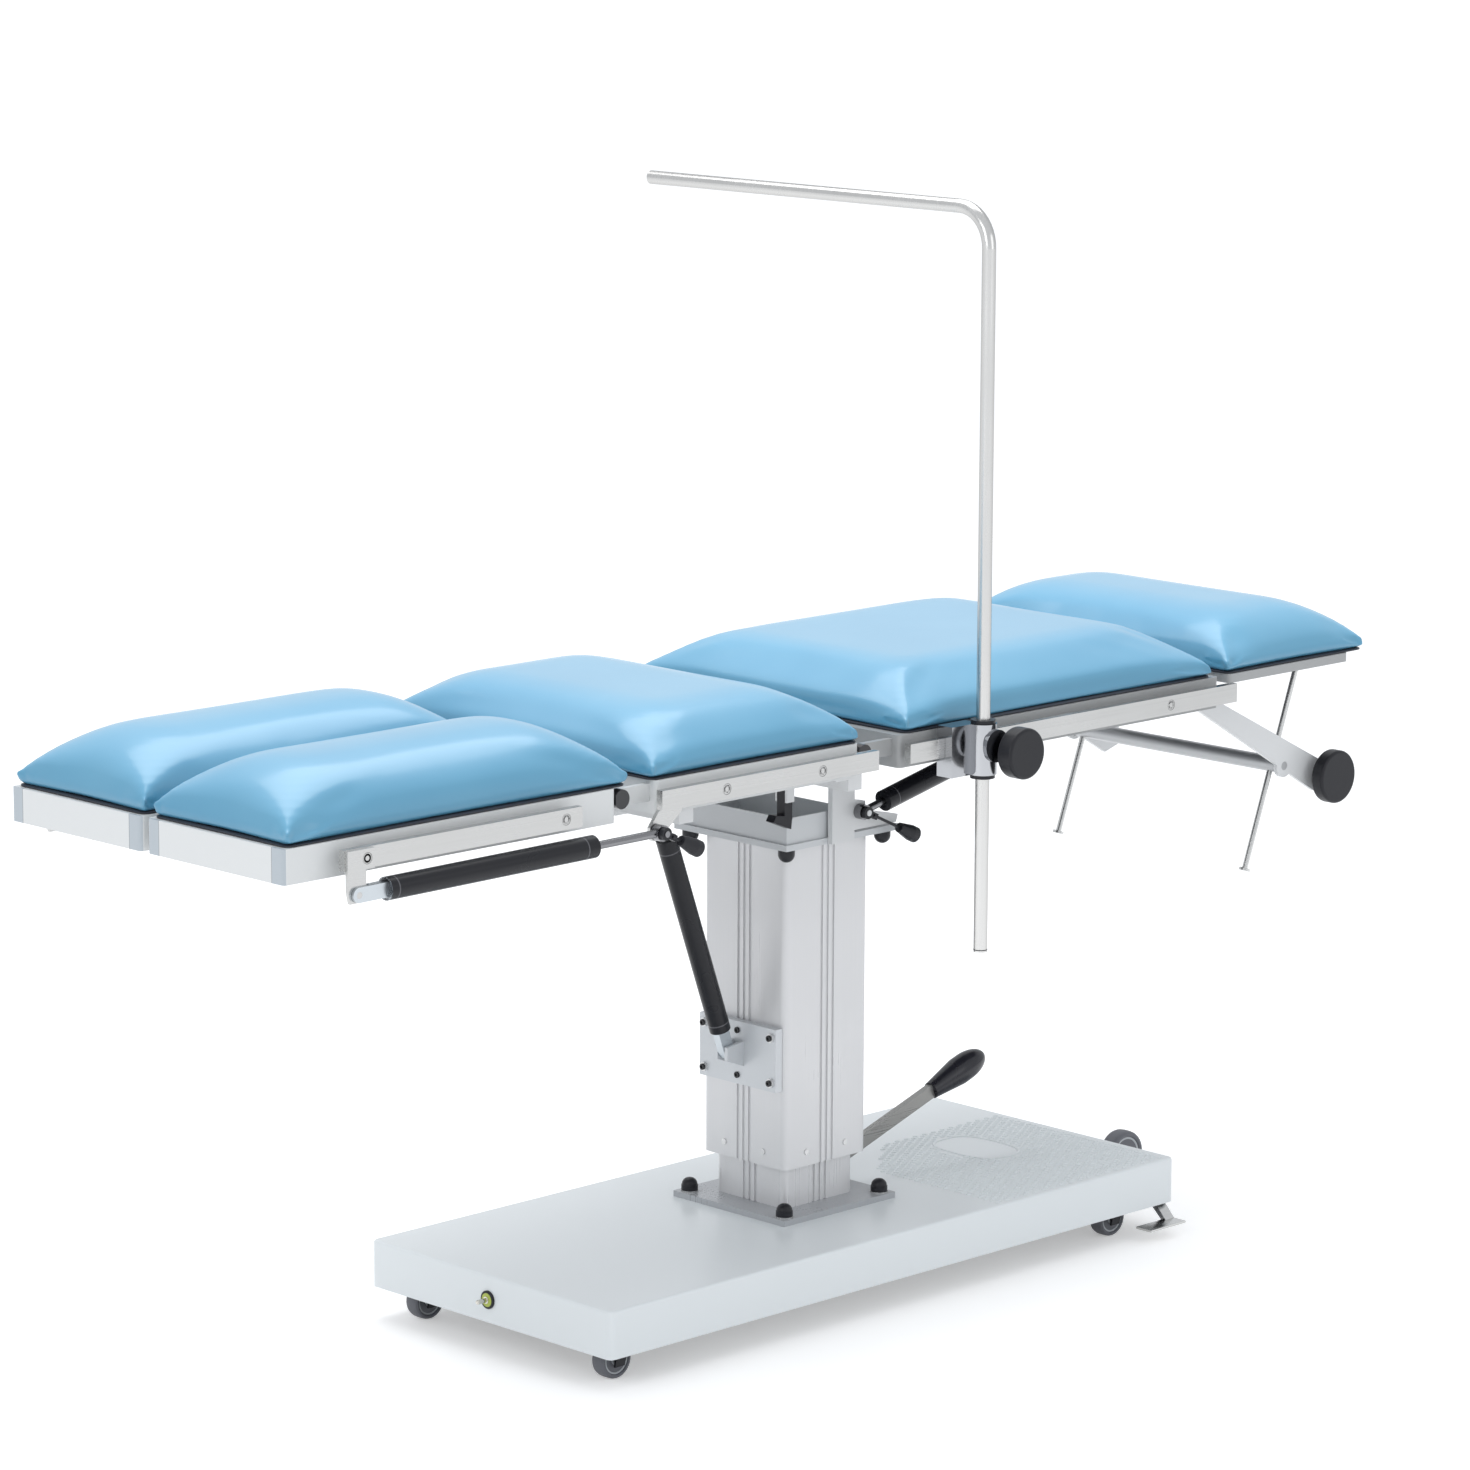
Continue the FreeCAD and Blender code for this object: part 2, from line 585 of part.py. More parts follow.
def dome(end, side, seat, stud_end, way):
    """A capped nut on a plate with its stud. It points up or down."""
    x = at(end, "bolt_half")
    y = at(side, "bolt_half")
    top = "dome_tall - dome_radius"
    globe = ball("dome_radius", x, y, "%s + %d * (%s)" % (seat, way, top))
    if way > 0:
        collar = round_bar("z", "dome_radius", seat, "%s + %s" % (seat, top), x, y)
        spare = box("(%s) - 30" % x, "(%s) + 30" % x, "(%s) - 30" % y, "(%s) + 30" % y, "%s - 30" % seat, seat)
        stud = round_bar("z", "stud_radius", stud_end, "%s + 1" % seat, x, y)
    else:
        collar = round_bar("z", "dome_radius", "%s - (%s)" % (seat, top), seat, x, y)
        spare = box("(%s) - 30" % x, "(%s) + 30" % x, "(%s) - 30" % y, "(%s) + 30" % y, seat, "%s + 30" % seat)
        stud = round_bar("z", "stud_radius", "%s - 1" % seat, stud_end, x, y)
    return joined(without(joined(globe, collar), spare), stud)


def hydraulics():
    lift = without(round_bar("z", "lift_radius", PLATE_TOP, "lift_top_z", "0", "0"),
                   round_bar("z", "ram_radius + free_gap", "ram_foot_z - 50", "lift_top_z + 1", "0", "0"))
    gap, reach = "(lever_wide / 2 + 1)", "(lever_wide / 2 + 1 + pump_cheek)"
    seat = box("pump_x - lever_tall", "plate_half - 1", "-" + reach, reach, PLATE_TOP, PLATE_TOP + " + pump_cheek")
    cheeks = []
    for side in (NEAR, FAR):
        near, far = span(side, gap, reach)
        cheeks.append(plate_y("pump_cheek", near, far,
                              [("pump_x - lever_tall", PLATE_TOP), ("plate_half - 1", PLATE_TOP),
                               ("pump_x + lever_tall / 2", "pump_z - lever_tall / 2"),
                               ("pump_x + lever_tall / 2", "pump_z + lever_tall / 2"),
                               ("pump_x - lever_tall / 2", "pump_z + lever_tall / 2")]))
    pin = round_bar("y", "axle_radius", "-" + reach, reach, "pump_x", "pump_z")
    piece("hydraulic_unit", several(lift, joined(seat, pin, *cheeks)))


def bonding():
    collar = round_bar("x", "bond_radius * 4", "-(base_half_long + 3)", "-base_half_long", "0", "bond_z")
    step = round_bar("x", "bond_radius * 2", "-(base_half_long + 6)", "-(base_half_long + 3)", "0", "bond_z")
    pin = round_bar("x", "bond_radius", "-(base_half_long + 20)", "-(base_half_long - cover_wall)", "0", "bond_z")
    piece("bonding_pin", joined(collar, step, pin))


def pump():
    """The foot lever: a flat bar on its pivot, with an egg-shaped grip over its end."""
    end = "pump_long + grip_long"

    def bar():
        return box("0", end + " - grip_radius", "-lever_wide / 2", "lever_wide / 2", "-lever_tall / 2", "lever_tall / 2")

    eye = round_bar("y", "lever_tall / 2", "-lever_wide / 2", "lever_wide / 2", "0", "0")
    lever = without(joined(bar(), eye), round_bar("y", "axle_radius + run_fit", "-lever_wide", "lever_wide", "0", "0"))
    thin, thick = "pump_long + grip_neck", end + " - grip_radius"
    grip = without(joined(ball("grip_neck", thin, "0", "0"), ball("grip_radius", thick, "0", "0"),
                          taper("x", "grip_neck", "grip_radius", thin, thick, "0", "0")), bar())
    for name, thing in (("pump_lever", lever), ("pump_grip", grip)):
        turn(thing, Y_AXIS, "360 - pump_lean")
        piece(name, put(thing, "pump_x", "0", "pump_z"))


def brake():
    """The folded pedal under the head end. It turns about a pin along X."""
    y = "-(caster_y + 15)"
    z = "base_foot_z + 18"
    foot = "caster_x + chassis_wide / 2 + 20 + free_gap"
    head = "base_half_long - 6"
    barrel = round_bar("x", "axle_radius + 3", foot, head, y, z)
    arm = plate_x("brake_arm", foot, head,
                  [("%s - 5" % y, z), ("%s + 3" % y, "%s - 6" % z), ("-(base_half_wide + 1)", "pedal_z"),
                   ("-(base_half_wide + 1 + 2 * pedal_thick)", "pedal_z + pedal_thick")])
    tread = box(head + " - pedal_long", head, "-(base_half_wide + 1 + pedal_wide)", "-(base_half_wide + 1)",
                "pedal_z", "pedal_z + pedal_thick")
    bore = round_bar("x", "axle_radius + run_fit", "%s - 1" % foot, "base_half_long", y, z)
    piece("brake_pedal", without(joined(barrel, arm, tread), bore))


def caster(name, end, side):
    wide = "caster_wide / 2"
    crown = "chassis_foot_z - free_gap"
    disc = round_bar("z", "stem_radius + 7", "%s - 8" % crown, crown, "0", "0")
    stem = round_bar("z", "stem_radius", crown, "chassis_foot_z + 24", "0", "0")
    legs = []
    for cheek in (NEAR, FAR):
        near, far = span(cheek, "%s + 1.5" % wide, "%s + 4.5" % wide)
        legs.append(plate_y("fork_leg", near, far,
                            [(TRAIL_X + " - 8", "caster_radius - 8"), (TRAIL_X + " + 8", "caster_radius - 8"),
                             ("8", "%s - 1" % crown), ("-13", "%s - 1" % crown)]))
    axle = round_bar("y", "axle_radius", "-(%s + 4.5)" % wide, "%s + 4.5" % wide, TRAIL_X, "caster_radius")
    fork = joined(disc, stem, axle, *legs)
    tyre = wheel("caster_tyre", "caster_radius", "caster_wide", TRAIL_X, "caster_radius")
    for label, thing in (("fork", fork), ("wheel", tyre)):
        put(thing, at(end, "caster_x"), at(side, "caster_y"), "0")
        piece("caster_%s_%s" % (name, label), thing)


def wheel(name, radius, wide, x, z):
    body = new_body(name)
    drawing = sketch(body, "XZ_Plane", "-(%s) / 2" % wide)
    circle(drawing, radius, x, z)
    disc = pad(body, drawing, wide)
    rounded(body, disc, "edge_round", is_ring)
    bore = round_bar("y", "axle_radius + run_fit", "-(%s)" % wide, wide, x, z)
    return without(body, bore)


# Column head


def column_head():
    piece("column_moving_tube", profile_tube("outer_profile", "column_half", "column_foot_z", "column_top_z"))
    top = plate_z("head_plate", "column_top_z", TRAY_FOOT, square("plate_half", "plate_half"),
                  [("stud_radius + free_gap", at(end, "bolt_half"), at(side, "bolt_half"))
                   for end in (-1, 1) for side in (-1, 1)])
    tray_head = "tilt_x + post_wide / 2"
    tray = without(box("-tray_half", tray_head, "-tray_half", "tray_half", TRAY_FOOT, "%s + tray_tall" % TRAY_FOOT),
                   box("tray_wall - tray_half", tray_head + " - tray_wall", "tray_wall - tray_half",
                       "tray_half - tray_wall", "%s - 1" % TRAY_FOOT, "%s + tray_tall + 1" % TRAY_FOOT),
                   round_bar("y", "trunnion_radius + run_fit", "-(tray_half + 1)", "tray_half + 1",
                             "tilt_x", "tilt_z"))
    piece("column_top_plate", joined(top, tray))
    piece("column_top_caps", several(*[dome(end, side, "column_top_z", TRAY_FOOT, -1)
                                       for end in (-1, 1) for side in (-1, 1)]))
    ram = round_bar("z", "ram_radius", "ram_foot_z", "column_top_z", "0", "0")
    piece("lift_ram", ram)
    pads = []
    near, far = "inner_half + free_gap", "column_half - column_wall"
    for side in (NEAR, FAR):
        a, b = span(side, near, far)
        for row in (NEAR, FAR):
            c, d = span(row, "inner_half / 2", "inner_half - corner_round")
            pads.append(box(a, b, c, d, "column_foot_z + 5", "column_foot_z + 5 + pad_tall"))
            pads.append(box(c, d, a, b, "column_foot_z + 5", "column_foot_z + 5 + pad_tall"))
    piece("guide_pads", several(*pads))


def spring_anchor():
    plate_block = box("-(column_half + anchor_thick)", "-column_half", "-anchor_half", "anchor_half",
                      "anchor_foot_z", "anchor_foot_z + anchor_tall")
    cheeks = []
    for side in (NEAR, FAR):
        near, far = span(side, "eye_wide / 2 + free_gap", "eye_wide / 2 + 6")
        cheeks.append(plate_y("anchor_cheek", near, far,
                              [("-column_half - 2", "tilt_spring_foot_z - 24"),
                               ("tilt_spring_foot_x - 10", "tilt_spring_foot_z - 9"),
                               ("tilt_spring_foot_x - 10", "tilt_spring_foot_z + 9"),
                               ("-column_half - 2", "tilt_spring_foot_z + 14")]))
    pin = round_bar("y", "spring_pin", "-(eye_wide / 2 + 6)", "eye_wide / 2 + 6",
                    "tilt_spring_foot_x", "tilt_spring_foot_z")
    piece("anchor_plate", joined(plate_block, pin, *cheeks))
    heads = []
    face = "-(column_half + anchor_thick + 3)"
    for row in (-1, 0, 1):
        for height in ("anchor_foot_z + 12", "anchor_foot_z + anchor_tall - 12"):
            if row == 0:
                continue
            heads.append(round_bar("x", "screw_radius + 2", face, "-(column_half + anchor_thick)",
                                   at(row, "anchor_half - 9"), height))
    for side in (NEAR, FAR):
        for spot in (-1, 1):
            near, far = span(side, "column_half", "column_half + 1.5")
            heads.append(round_bar("y", "screw_radius", near, far, at(spot, "column_half / 2 - 2"),
                                   "column_foot_z + 19"))
            heads.append(round_bar("x", "screw_radius", near, far, at(spot, "column_half / 2 - 2"),
                                   "column_foot_z + 19"))
    piece("column_screws", several(*heads))


# Tabletop sections


def ring(name, x0, x1, y0, y1):
    """A frame of a section: four bars with rounded corners."""
    outer = soft_block(name, x0, x1, y0, y1, FRAME_FOOT, "frame_top", "cap_thick * 2")
    return without(outer, box("(%s) + bar_wide" % x0, "(%s) - bar_wide" % x1, "(%s) + bar_wide" % y0,
                              "(%s) - bar_wide" % y1, FRAME_FOOT + " - 1", "frame_top + 1"))


def knuckle(side, near, face, way):
    """A hinge knuckle on a frame's end, cut flat where it meets the frame."""
    a, b = span(side, near, "(%s) + knuckle_wide" % near)
    axis_x = "(%s) + %d * hinge_out" % (face, way)
    barrel = round_bar("y", "knuckle_radius", a, b, axis_x, HINGE_Z)
    first, last = ("(%s)" % face, "(%s) + 40" % face) if way > 0 else ("(%s) - 40" % face, "(%s)" % face)
    return overlap(barrel, box(first, last, "(%s) - 1" % a, "(%s) + 1" % b, "frame_top - 40", "frame_top + 5"))


def hinge_pin(side, near, axis_x):
    """A pin held in a knuckle. It reaches through the ear beside it."""
    a, b = span(side, "(%s) - free_gap - ear_thick" % near, "(%s) + 1" % near)
    return round_bar("y", "pin_radius", a, b, axis_x, HINGE_Z)


def ear(side, near, frame_x, axis_x):
    """The arm of a hinge, from one frame's end to the axis at the next frame."""
    a, b = span(side, "(%s) - free_gap - ear_thick" % near, "(%s) - free_gap" % near)
    low, high = "knuckle_radius", "(knuckle_radius - 2)"
    arm = plate_y("hinge_arm", a, b,
                  [(frame_x, "%s - %s" % (HINGE_Z, low)), (frame_x, "%s + %s" % (HINGE_Z, high)),
                   (axis_x, "%s + %s" % (HINGE_Z, high)), (axis_x, "%s - %s" % (HINGE_Z, high))])
    eye = round_bar("y", high, a, b, axis_x, HINGE_Z)
    return joined(arm, eye), round_bar("y", "pin_radius + run_fit", "(%s) - 1" % a, "(%s) + 1" % b, axis_x, HINGE_Z)


LEG_KNUCKLES = ("table_half - knuckle_wide", "leg_gap + ear_thick + 2")
BACK_KNUCKLE = "table_half - knuckle_wide"


def cushion(name, x0, x1, y0, y1):
    """A cushion as a block with a hipped top."""
    low, edge, crown = PAD_FOOT, PAD_FOOT + " + pad_corner", PAD_FOOT + " + pad_crown"
    slope = "pad_crown"

    def hip(start, end):
        return [(start, low), (end, low), (end, edge), ("(%s) - %s" % (end, slope), crown),
                ("(%s) + %s" % (start, slope), crown), (start, edge)]

    along = plate_y("cushion_along", y0, y1, hip(x0, x1))
    across = plate_x("cushion_across", x0, x1, hip(y0, y1))
    piece(name, overlap(along, across))


def rail(side, start, long, spots, carried=(), plate_at=None):
    """An accessory rail with its spacers and what it carries, and sunk screw heads in its face or a plate's."""
    near, far = span(side, RAIL_IN, RAIL_OUT)
    strip = box(start, "(%s) + (%s)" % (start, long), near, far, "rail_top - rail_deep", "rail_top")
    gap_near, gap_far = span(side, "table_half", RAIL_IN)
    spacers = [round_bar("y", "spacer_radius", gap_near, gap_far, spot, RAIL_Z) for spot in spots]
    sinks = []
    heads = []
    for spot in spots:
        face = RAIL_OUT + " + tab_thick" if spot == plate_at else RAIL_OUT
        near, far = span(side, face + " - screw_sink", face + " + 1")
        sinks.append(round_bar("y", "screw_head + 0.5", near, far, spot, RAIL_Z))
        near, far = span(side, face + " - screw_sink", face + " - 0.2")
        heads.append(round_bar("y", "screw_head", near, far, spot, RAIL_Z))
    bar = joined(strip, *carried) if carried else strip
    return several(joined(without(bar, *sinks), *spacers), *heads)


def spring_plate(side, start):
    """The angled plate under a leg rail's first screw, with the pin of the leg spring's clevis."""
    near, far = span(side, RAIL_OUT, RAIL_OUT + " + tab_thick")
    head = "%s + tab_long" % start
    inner = "%s + 1 + tab_wide" % start
    tab = plate_y("spring_tab", near, far,
                  [("%s + 1" % start, "rail_top - 1"), (head, "rail_top - 1"), (head, "rail_top - rail_deep"),
                   (inner, "rail_top - rail_deep"), (inner, "leg_spring_foot_z + 4"),
                   ("%s - 3" % inner, "leg_spring_foot_z - eye_radius"),
                   ("%s + 4" % start, "leg_spring_foot_z - eye_radius"), ("%s + 1" % start, "leg_spring_foot_z + 4")])
    near, far = span(side, "leg_spring_y - eye_wide / 2", "leg_spring_y + eye_wide / 2")
    return [tab, round_bar("y", "spring_pin", near, far, "leg_spring_foot_x", "leg_spring_foot_z")]


def spring_cheek(side):
    """The cheek that hangs from a seat rail beside the eye of a leg spring."""
    near, far = span(side, RAIL_IN, RAIL_IN + " + cheek_thick")
    foot = "seat_foot_x + seat_rail_start"
    return plate_y("spring_cheek", near, far,
                   [(foot, "rail_top - rail_deep + 1"), ("leg_spring_eye_x - eye_radius", "leg_spring_eye_z + 6"),
                    ("leg_spring_eye_x - eye_radius", "leg_spring_eye_z - 6"),
                    ("leg_spring_eye_x - 5", "leg_spring_eye_z - eye_radius - 1"),
                    ("leg_spring_eye_x + 5", "leg_spring_eye_z - eye_radius - 1"),
                    (foot + " + 38", "rail_top - rail_deep - 4"), (foot + " + 38", "rail_top - rail_deep + 1")])


def leg(name, side):
    inner, outer = span(side, "leg_gap", "table_half")
    frame = ring("leg_ring", "leg_foot_x", "leg_head_x", inner, outer)
    parts = [frame]
    for near in LEG_KNUCKLES:
        parts.append(knuckle(side, near, "leg_head_x", 1))
        parts.append(hinge_pin(side, near, LEG_HINGE_X))
    piece("leg_%s_frame" % name, joined(*parts))
    start = "leg_foot_x + leg_rail_start"
    spots = ("%s + 31" % start, "%s + leg_rail_long - 26" % start)
    piece("leg_%s_rail" % name, rail(side, start, "leg_rail_long", spots, spring_plate(side, start), spots[0]))
    near, far = span(side, "leg_gap - pad_over", "table_half + pad_over")
    cushion("leg_%s_cushion" % name, "leg_foot_x + pad_over", "leg_head_x + leg_pad_reach", near, far)


def seat():
    frame = ring("seat_ring", "seat_foot_x", "seat_head_x", "-table_half", "table_half")
    solids = [frame]
    bores = []
    for side in (NEAR, FAR):
        for near in LEG_KNUCKLES:
            arm, bore = ear(side, near, "seat_foot_x + 1", LEG_HINGE_X)
            solids.append(arm)
            bores.append(bore)
        solids.append(knuckle(side, BACK_KNUCKLE, "seat_head_x", 1))
        solids.append(hinge_pin(side, BACK_KNUCKLE, BACK_HINGE_X))
    piece("seat_frame", without(joined(*solids), *bores))
    start = "seat_foot_x + seat_rail_start"
    spots = ("%s + 109" % start, "%s + 275" % start)
    piece("seat_rails", several(*[rail(side, start, "seat_rail_long", spots, [spring_cheek(side)])
                                  for side in (NEAR, FAR)]))
    cushion("seat_cushion", "seat_foot_x - seat_pad_foot", "seat_head_x + seat_pad_head",
            "-(table_half + pad_over)", "table_half + pad_over")


def seat_brackets():
    """The steel under the seat: beams, cross members, posts and the springs' cheeks."""
    under = FRAME_FOOT
    low = under + " - beam_deep"
    solids = []
    for side in (NEAR, FAR):
        near, far = span(side, "plate_half + free_gap", "plate_half + free_gap + beam_wide")
        solids.append(box("seat_foot_x + 60", "tilt_x + post_wide / 2", near, far, low, under + " - 2"))
        near, far = span(side, "plate_half + free_gap", "plate_half + free_gap + post_thick")
        foot = "tilt_x - post_wide / 2"
        head = "tilt_x + post_wide / 2"
        solids.append(plate_y("post", near, far,
                              [(foot, "column_top_z"), (head, "column_top_z"), (head, "back_spring_eye_z - 24"),
                               ("back_spring_eye_x + eye_tab_long", "back_spring_eye_z - 24"),
                               ("back_spring_eye_x + eye_tab_long + 3", "back_spring_eye_z - 14"),
                               ("back_spring_eye_x + 12", "back_spring_eye_z"),
                               ("back_spring_eye_x + 12", "back_spring_eye_z + 12"),
                               (head, "back_spring_eye_z + 16"), (head, low + " + 2"), (foot, low + " + 2")]))
        near, far = span(side, "tray_half - tray_wall", "plate_half + free_gap + 1")
        solids.append(round_bar("y", "trunnion_radius", near, far, "tilt_x", "tilt_z"))
    for start in ("seat_foot_x + 57", "seat_head_x + 2"):
        solids.append(box(start, start + " + 24", "-(table_half - bar_wide + 2)", "table_half - bar_wide + 2",
                          under + " - cross_deep", under + " - 2"))
    for side in (NEAR, FAR):
        near, far = span(side, "table_half - bar_wide - 8", "table_half - bar_wide + 2")
        solids.append(box("seat_foot_x + 57", "seat_foot_x + 81", near, far, under + " - 3", under))
        solids.append(box("seat_head_x - 20", "seat_head_x + 26", near, far, under + " - 8", under))
    solids.append(box("tilt_spring_eye_x - 12", "tilt_spring_eye_x + 12", "-(plate_half + 10)", "plate_half + 10",
                      under + " - 11", under + " - 2"))
    for side in (NEAR, FAR):
        near, far = span(side, "eye_wide / 2 + 1", "eye_wide / 2 + 7")
        solids.append(plate_y("eye_cheek", near, far,
                              rectangle("tilt_spring_eye_x - 12", "tilt_spring_eye_x + 12",
                                        "tilt_spring_eye_z - 12", under + " - 5")))
    near, far = span(NEAR, "back_spring_y - eye_wide / 2 - 7", "back_spring_y + eye_wide / 2 + free_gap + lever_thick + 1")
    solids.append(round_bar("y", "spring_pin", near, far, "back_spring_eye_x", "back_spring_eye_z"))
    for side in (-1, 1):
        near = "-(plate_half + free_gap + 3.5) + %d * 7.3" % side
        first = near if side > 0 else near + " - 3"
        solids.append(box("seat_head_x + 9", "seat_head_x + 23", first, first + " + 3",
                          under + " - 56", under + " - 20"))
    solids.append(round_bar("y", "3", "-(plate_half + free_gap + 3.5 + 10)", "-(plate_half + free_gap + 3.5 - 10)",
                            "seat_head_x + 16", under + " - 49"))
    piece("seat_brackets", joined(*solids))


def tilt_handle():
    x = "seat_head_x + 16"
    y = "-(plate_half + free_gap + 3.5)"
    z = FRAME_FOOT + " - 49"
    block = box("%s - 7" % x, "%s + 7" % x, "%s - 7" % y, "%s + 7" % y, "%s - 30" % z, "%s + 9" % z)
    paddle = plate_y("paddle", "%s - 7" % y, "%s + 7" % y,
                     [("%s - 27" % x, "%s - 30" % z), ("%s + 5" % x, "%s - 43" % z),
                      ("%s + 7" % x, "%s - 26" % z), ("%s - 22" % x, "%s - 22" % z)])
    bore = round_bar("y", "3 + run_fit", "%s - 8" % y, "%s + 8" % y, x, z)
    piece("tilt_lever", without(joined(block, paddle), bore))


def back():
    frame = ring("back_ring", "back_foot_x", "back_head_x", "-table_half", "table_half")
    solids = [frame]
    bores = []
    for side in (NEAR, FAR):
        arm, bore = ear(side, BACK_KNUCKLE, "back_foot_x + 1", BACK_HINGE_X)
        solids.append(arm)
        bores.append(bore)
        near, far = span(side, "arm_y - 20", "arm_y - free_gap")
        solids.append(plate_y("head_ear", near, far,
                              [("back_head_x - 1", "head_hinge_z - 7"), ("head_hinge_x", "head_hinge_z - 7"),
                               ("head_hinge_x + 5", "head_hinge_z"), ("head_hinge_x", "head_hinge_z + 5"),
                               ("back_head_x - 1", "head_hinge_z + 5")]))
        bores.append(round_bar("y", "3 + run_fit", "(%s) - 1" % near, "(%s) + 1" % far,
                               "head_hinge_x", "head_hinge_z"))
    solids.append(box("back_spring_foot_x - 14", "back_spring_foot_x + 14", "-(table_half - bar_wide + 1)",
                      "table_half - bar_wide + 1", "frame_top - 20", "frame_top - 4"))
    for side in (-1, 1):
        start = "-back_spring_y + %d * (eye_wide / 2 + 1)" % side
        first = start if side > 0 else start + " - 6"
        solids.append(box("back_spring_foot_x - 14", "back_spring_foot_x + 14", first, first + " + 6",
                          "back_spring_foot_z - 12", "frame_top - 19"))
    piece("back_frame", without(joined(*solids), *bores))
    start = "back_foot_x + back_rail_start"
    spots = ("%s + 134" % start, "%s + 498" % start)
    piece("back_rails", several(rail(NEAR, start, "back_rail_long", spots),
                                rail(FAR, start, "back_rail_long", spots)))
    cushion("back_cushion", "back_foot_x + back_pad_foot", "back_head_x - back_pad_head",
            "-(table_half + pad_over)", "table_half + pad_over")


HEAD_X = "(guide_x - head_hinge_x)"
HEAD_Z = "(guide_z - head_hinge_z)"
HEAD_R = "sqrt(%s ^ 2 + %s ^ 2)" % (HEAD_X, HEAD_Z)
TUBE_TURN = "(2 * guide_lean + atan(%s / %s) / 1deg)" % (HEAD_Z, HEAD_X)
TUBE_X = "(head_hinge_x + %s * cos(%s * 1deg))" % (HEAD_R, TUBE_TURN)
TUBE_Z = "(head_hinge_z - %s * sin(%s * 1deg))" % (HEAD_R, TUBE_TURN)


def head():
    solids = []
    foot = "head_hinge_x + 10"
    low = "head_bar_top - head_bar_deep"
    outer = soft_block("head_ring", foot, "head_end_x", "-table_half", "table_half", low, "head_bar_top",
                       "cap_thick * 2")
    inner = box(foot + " + bar_wide", "guide_x - 14", "bar_wide - table_half", "table_half - bar_wide",
                low + " - 1", "head_bar_top + 1")
    solids.append(without(outer, inner))
    for side in (NEAR, FAR):
        near, far = span(side, "arm_y - 40", "arm_y - 20 - free_gap")
        solids.append(plate_y("head_hinge_arm", near, far,
                              [("head_hinge_x - 6", "head_hinge_z - 6"), (foot + " + 4", low),
                               (foot + " + 4", "head_bar_top"), ("head_hinge_x - 6", "head_hinge_z + 4")]))
        near, far = span(side, "arm_y - 21 - free_gap", "arm_y - free_gap")
        solids.append(round_bar("y", "3", near, far, "head_hinge_x", "head_hinge_z"))
        near, far = span(side, "guide_y + 6", "guide_y + 12")
        solids.append(plate_y("guide_lug", near, far,
                              [("guide_x - 12", low + " + 2"), ("guide_x - 8", "guide_z - 9"),
                               ("guide_x + 8", "guide_z - 9"), ("guide_x", low + " + 2")]))
        near, far = span(side, "guide_y - 5.5", "guide_y + 7")
        solids.append(round_bar("y", "3", near, far, "guide_x", "guide_z"))
    piece("head_frame", joined(*solids))
    cushion("head_cushion", foot + " - 6", "head_end_x + head_pad_reach",
            "-(table_half + pad_over)", "table_half + pad_over")


def head_guides():
    """Rods that hang from the head frame and slide through the cross tube."""
    rods = []
    for side in (NEAR, FAR):
        y = at(side, "guide_y")
        eye = round_bar("y", "8", "(%s) - 5" % y, "(%s) + 5" % y, "0", "0")
        rod = round_bar("z", "guide_radius", "-guide_long", "-5", "0", y)
        foot = round_bar("z", "guide_radius + 4", "-guide_long - 4", "-guide_long", "0", y)
        hole = round_bar("y", "3 + run_fit", "(%s) - 6" % y, "(%s) + 6" % y, "0", "0")
        rods.append(without(joined(eye, rod, foot), hole))
    pair = several(*rods)
    turn(pair, Y_AXIS, "guide_lean")
    piece("head_rods", put(pair, "guide_x", "0", "guide_z"))
    tube = round_bar("y", "tube_radius", "-(arm_y - free_gap)", "arm_y - free_gap", "0", "0")
    ends = [round_bar("y", "6", *span(side, "arm_y - 1", "arm_y + arm_thick"), "0", "0") for side in (NEAR, FAR)]
    holes = [round_bar("z", "guide_radius + run_fit", "-tube_radius - 1", "tube_radius + 1", "0", at(side, "guide_y"))
             for side in (NEAR, FAR)]
    cross = without(joined(tube, *ends), *holes)
    turn(cross, Y_AXIS, "guide_lean")
    piece("head_tube", put(cross, TUBE_X, "0", TUBE_Z))


def head_arms():
    arms = []
    for side in (NEAR, FAR):
        near, far = span(side, "arm_y", "arm_y + arm_thick")
        arm = plate_y("head_arm", near, far,
                      [("back_head_x", "frame_top - 18"), ("back_head_x", FRAME_FOOT + " + 1"),
                       ("knob_x - 13", "knob_z - 22"), ("knob_x + 14", "knob_z - 14"),
                       ("knob_x + 16", "knob_z + 12"), ("back_head_x + 16", "frame_top - 24")])
        boss = round_bar("y", "16", near, far, TUBE_X, TUBE_Z)
        flange_near, flange_far = span(side, "arm_y - 24", "arm_y + arm_thick")
        flange = box("back_head_x", "back_head_x + 3", flange_near, flange_far, FRAME_FOOT + " + 2",
                     "head_hinge_z - 8")
        holes = [round_bar("y", "6 + run_fit", "(%s) - 1" % near, "(%s) + 1" % far, TUBE_X, TUBE_Z),
                 round_bar("y", "axle_radius + run_fit", "(%s) - 1" % near, "(%s) + 1" % far, "knob_x", "knob_z")]
        arms.append(without(joined(arm, boss, flange), *holes))
    piece("head_arms", several(*arms))


def knob(name, radius, thick, face, neck, shank_end, x, z):
    """A grip knob that faces -Y, with a neck and a threaded shank."""
    body = new_body("knob_disc")
    drawing = sketch(body, "XZ_Plane", "%s + %s" % (face, neck))
    circle(drawing, radius, "0", "0")
    disc = pad(body, drawing, thick)
    rounded(body, disc, "edge_round", is_ring)
    collar = round_bar("y", "axle_radius * 3", "-(%s + %s + 1)" % (face, neck), "-(%s)" % face, "0", "0")
    shank = round_bar("y", "axle_radius", "-(%s + 2)" % face, "-(%s)" % shank_end, "0", "0")
    piece(name, put(joined(body, collar, shank), x, "0", z))


# Gas springs


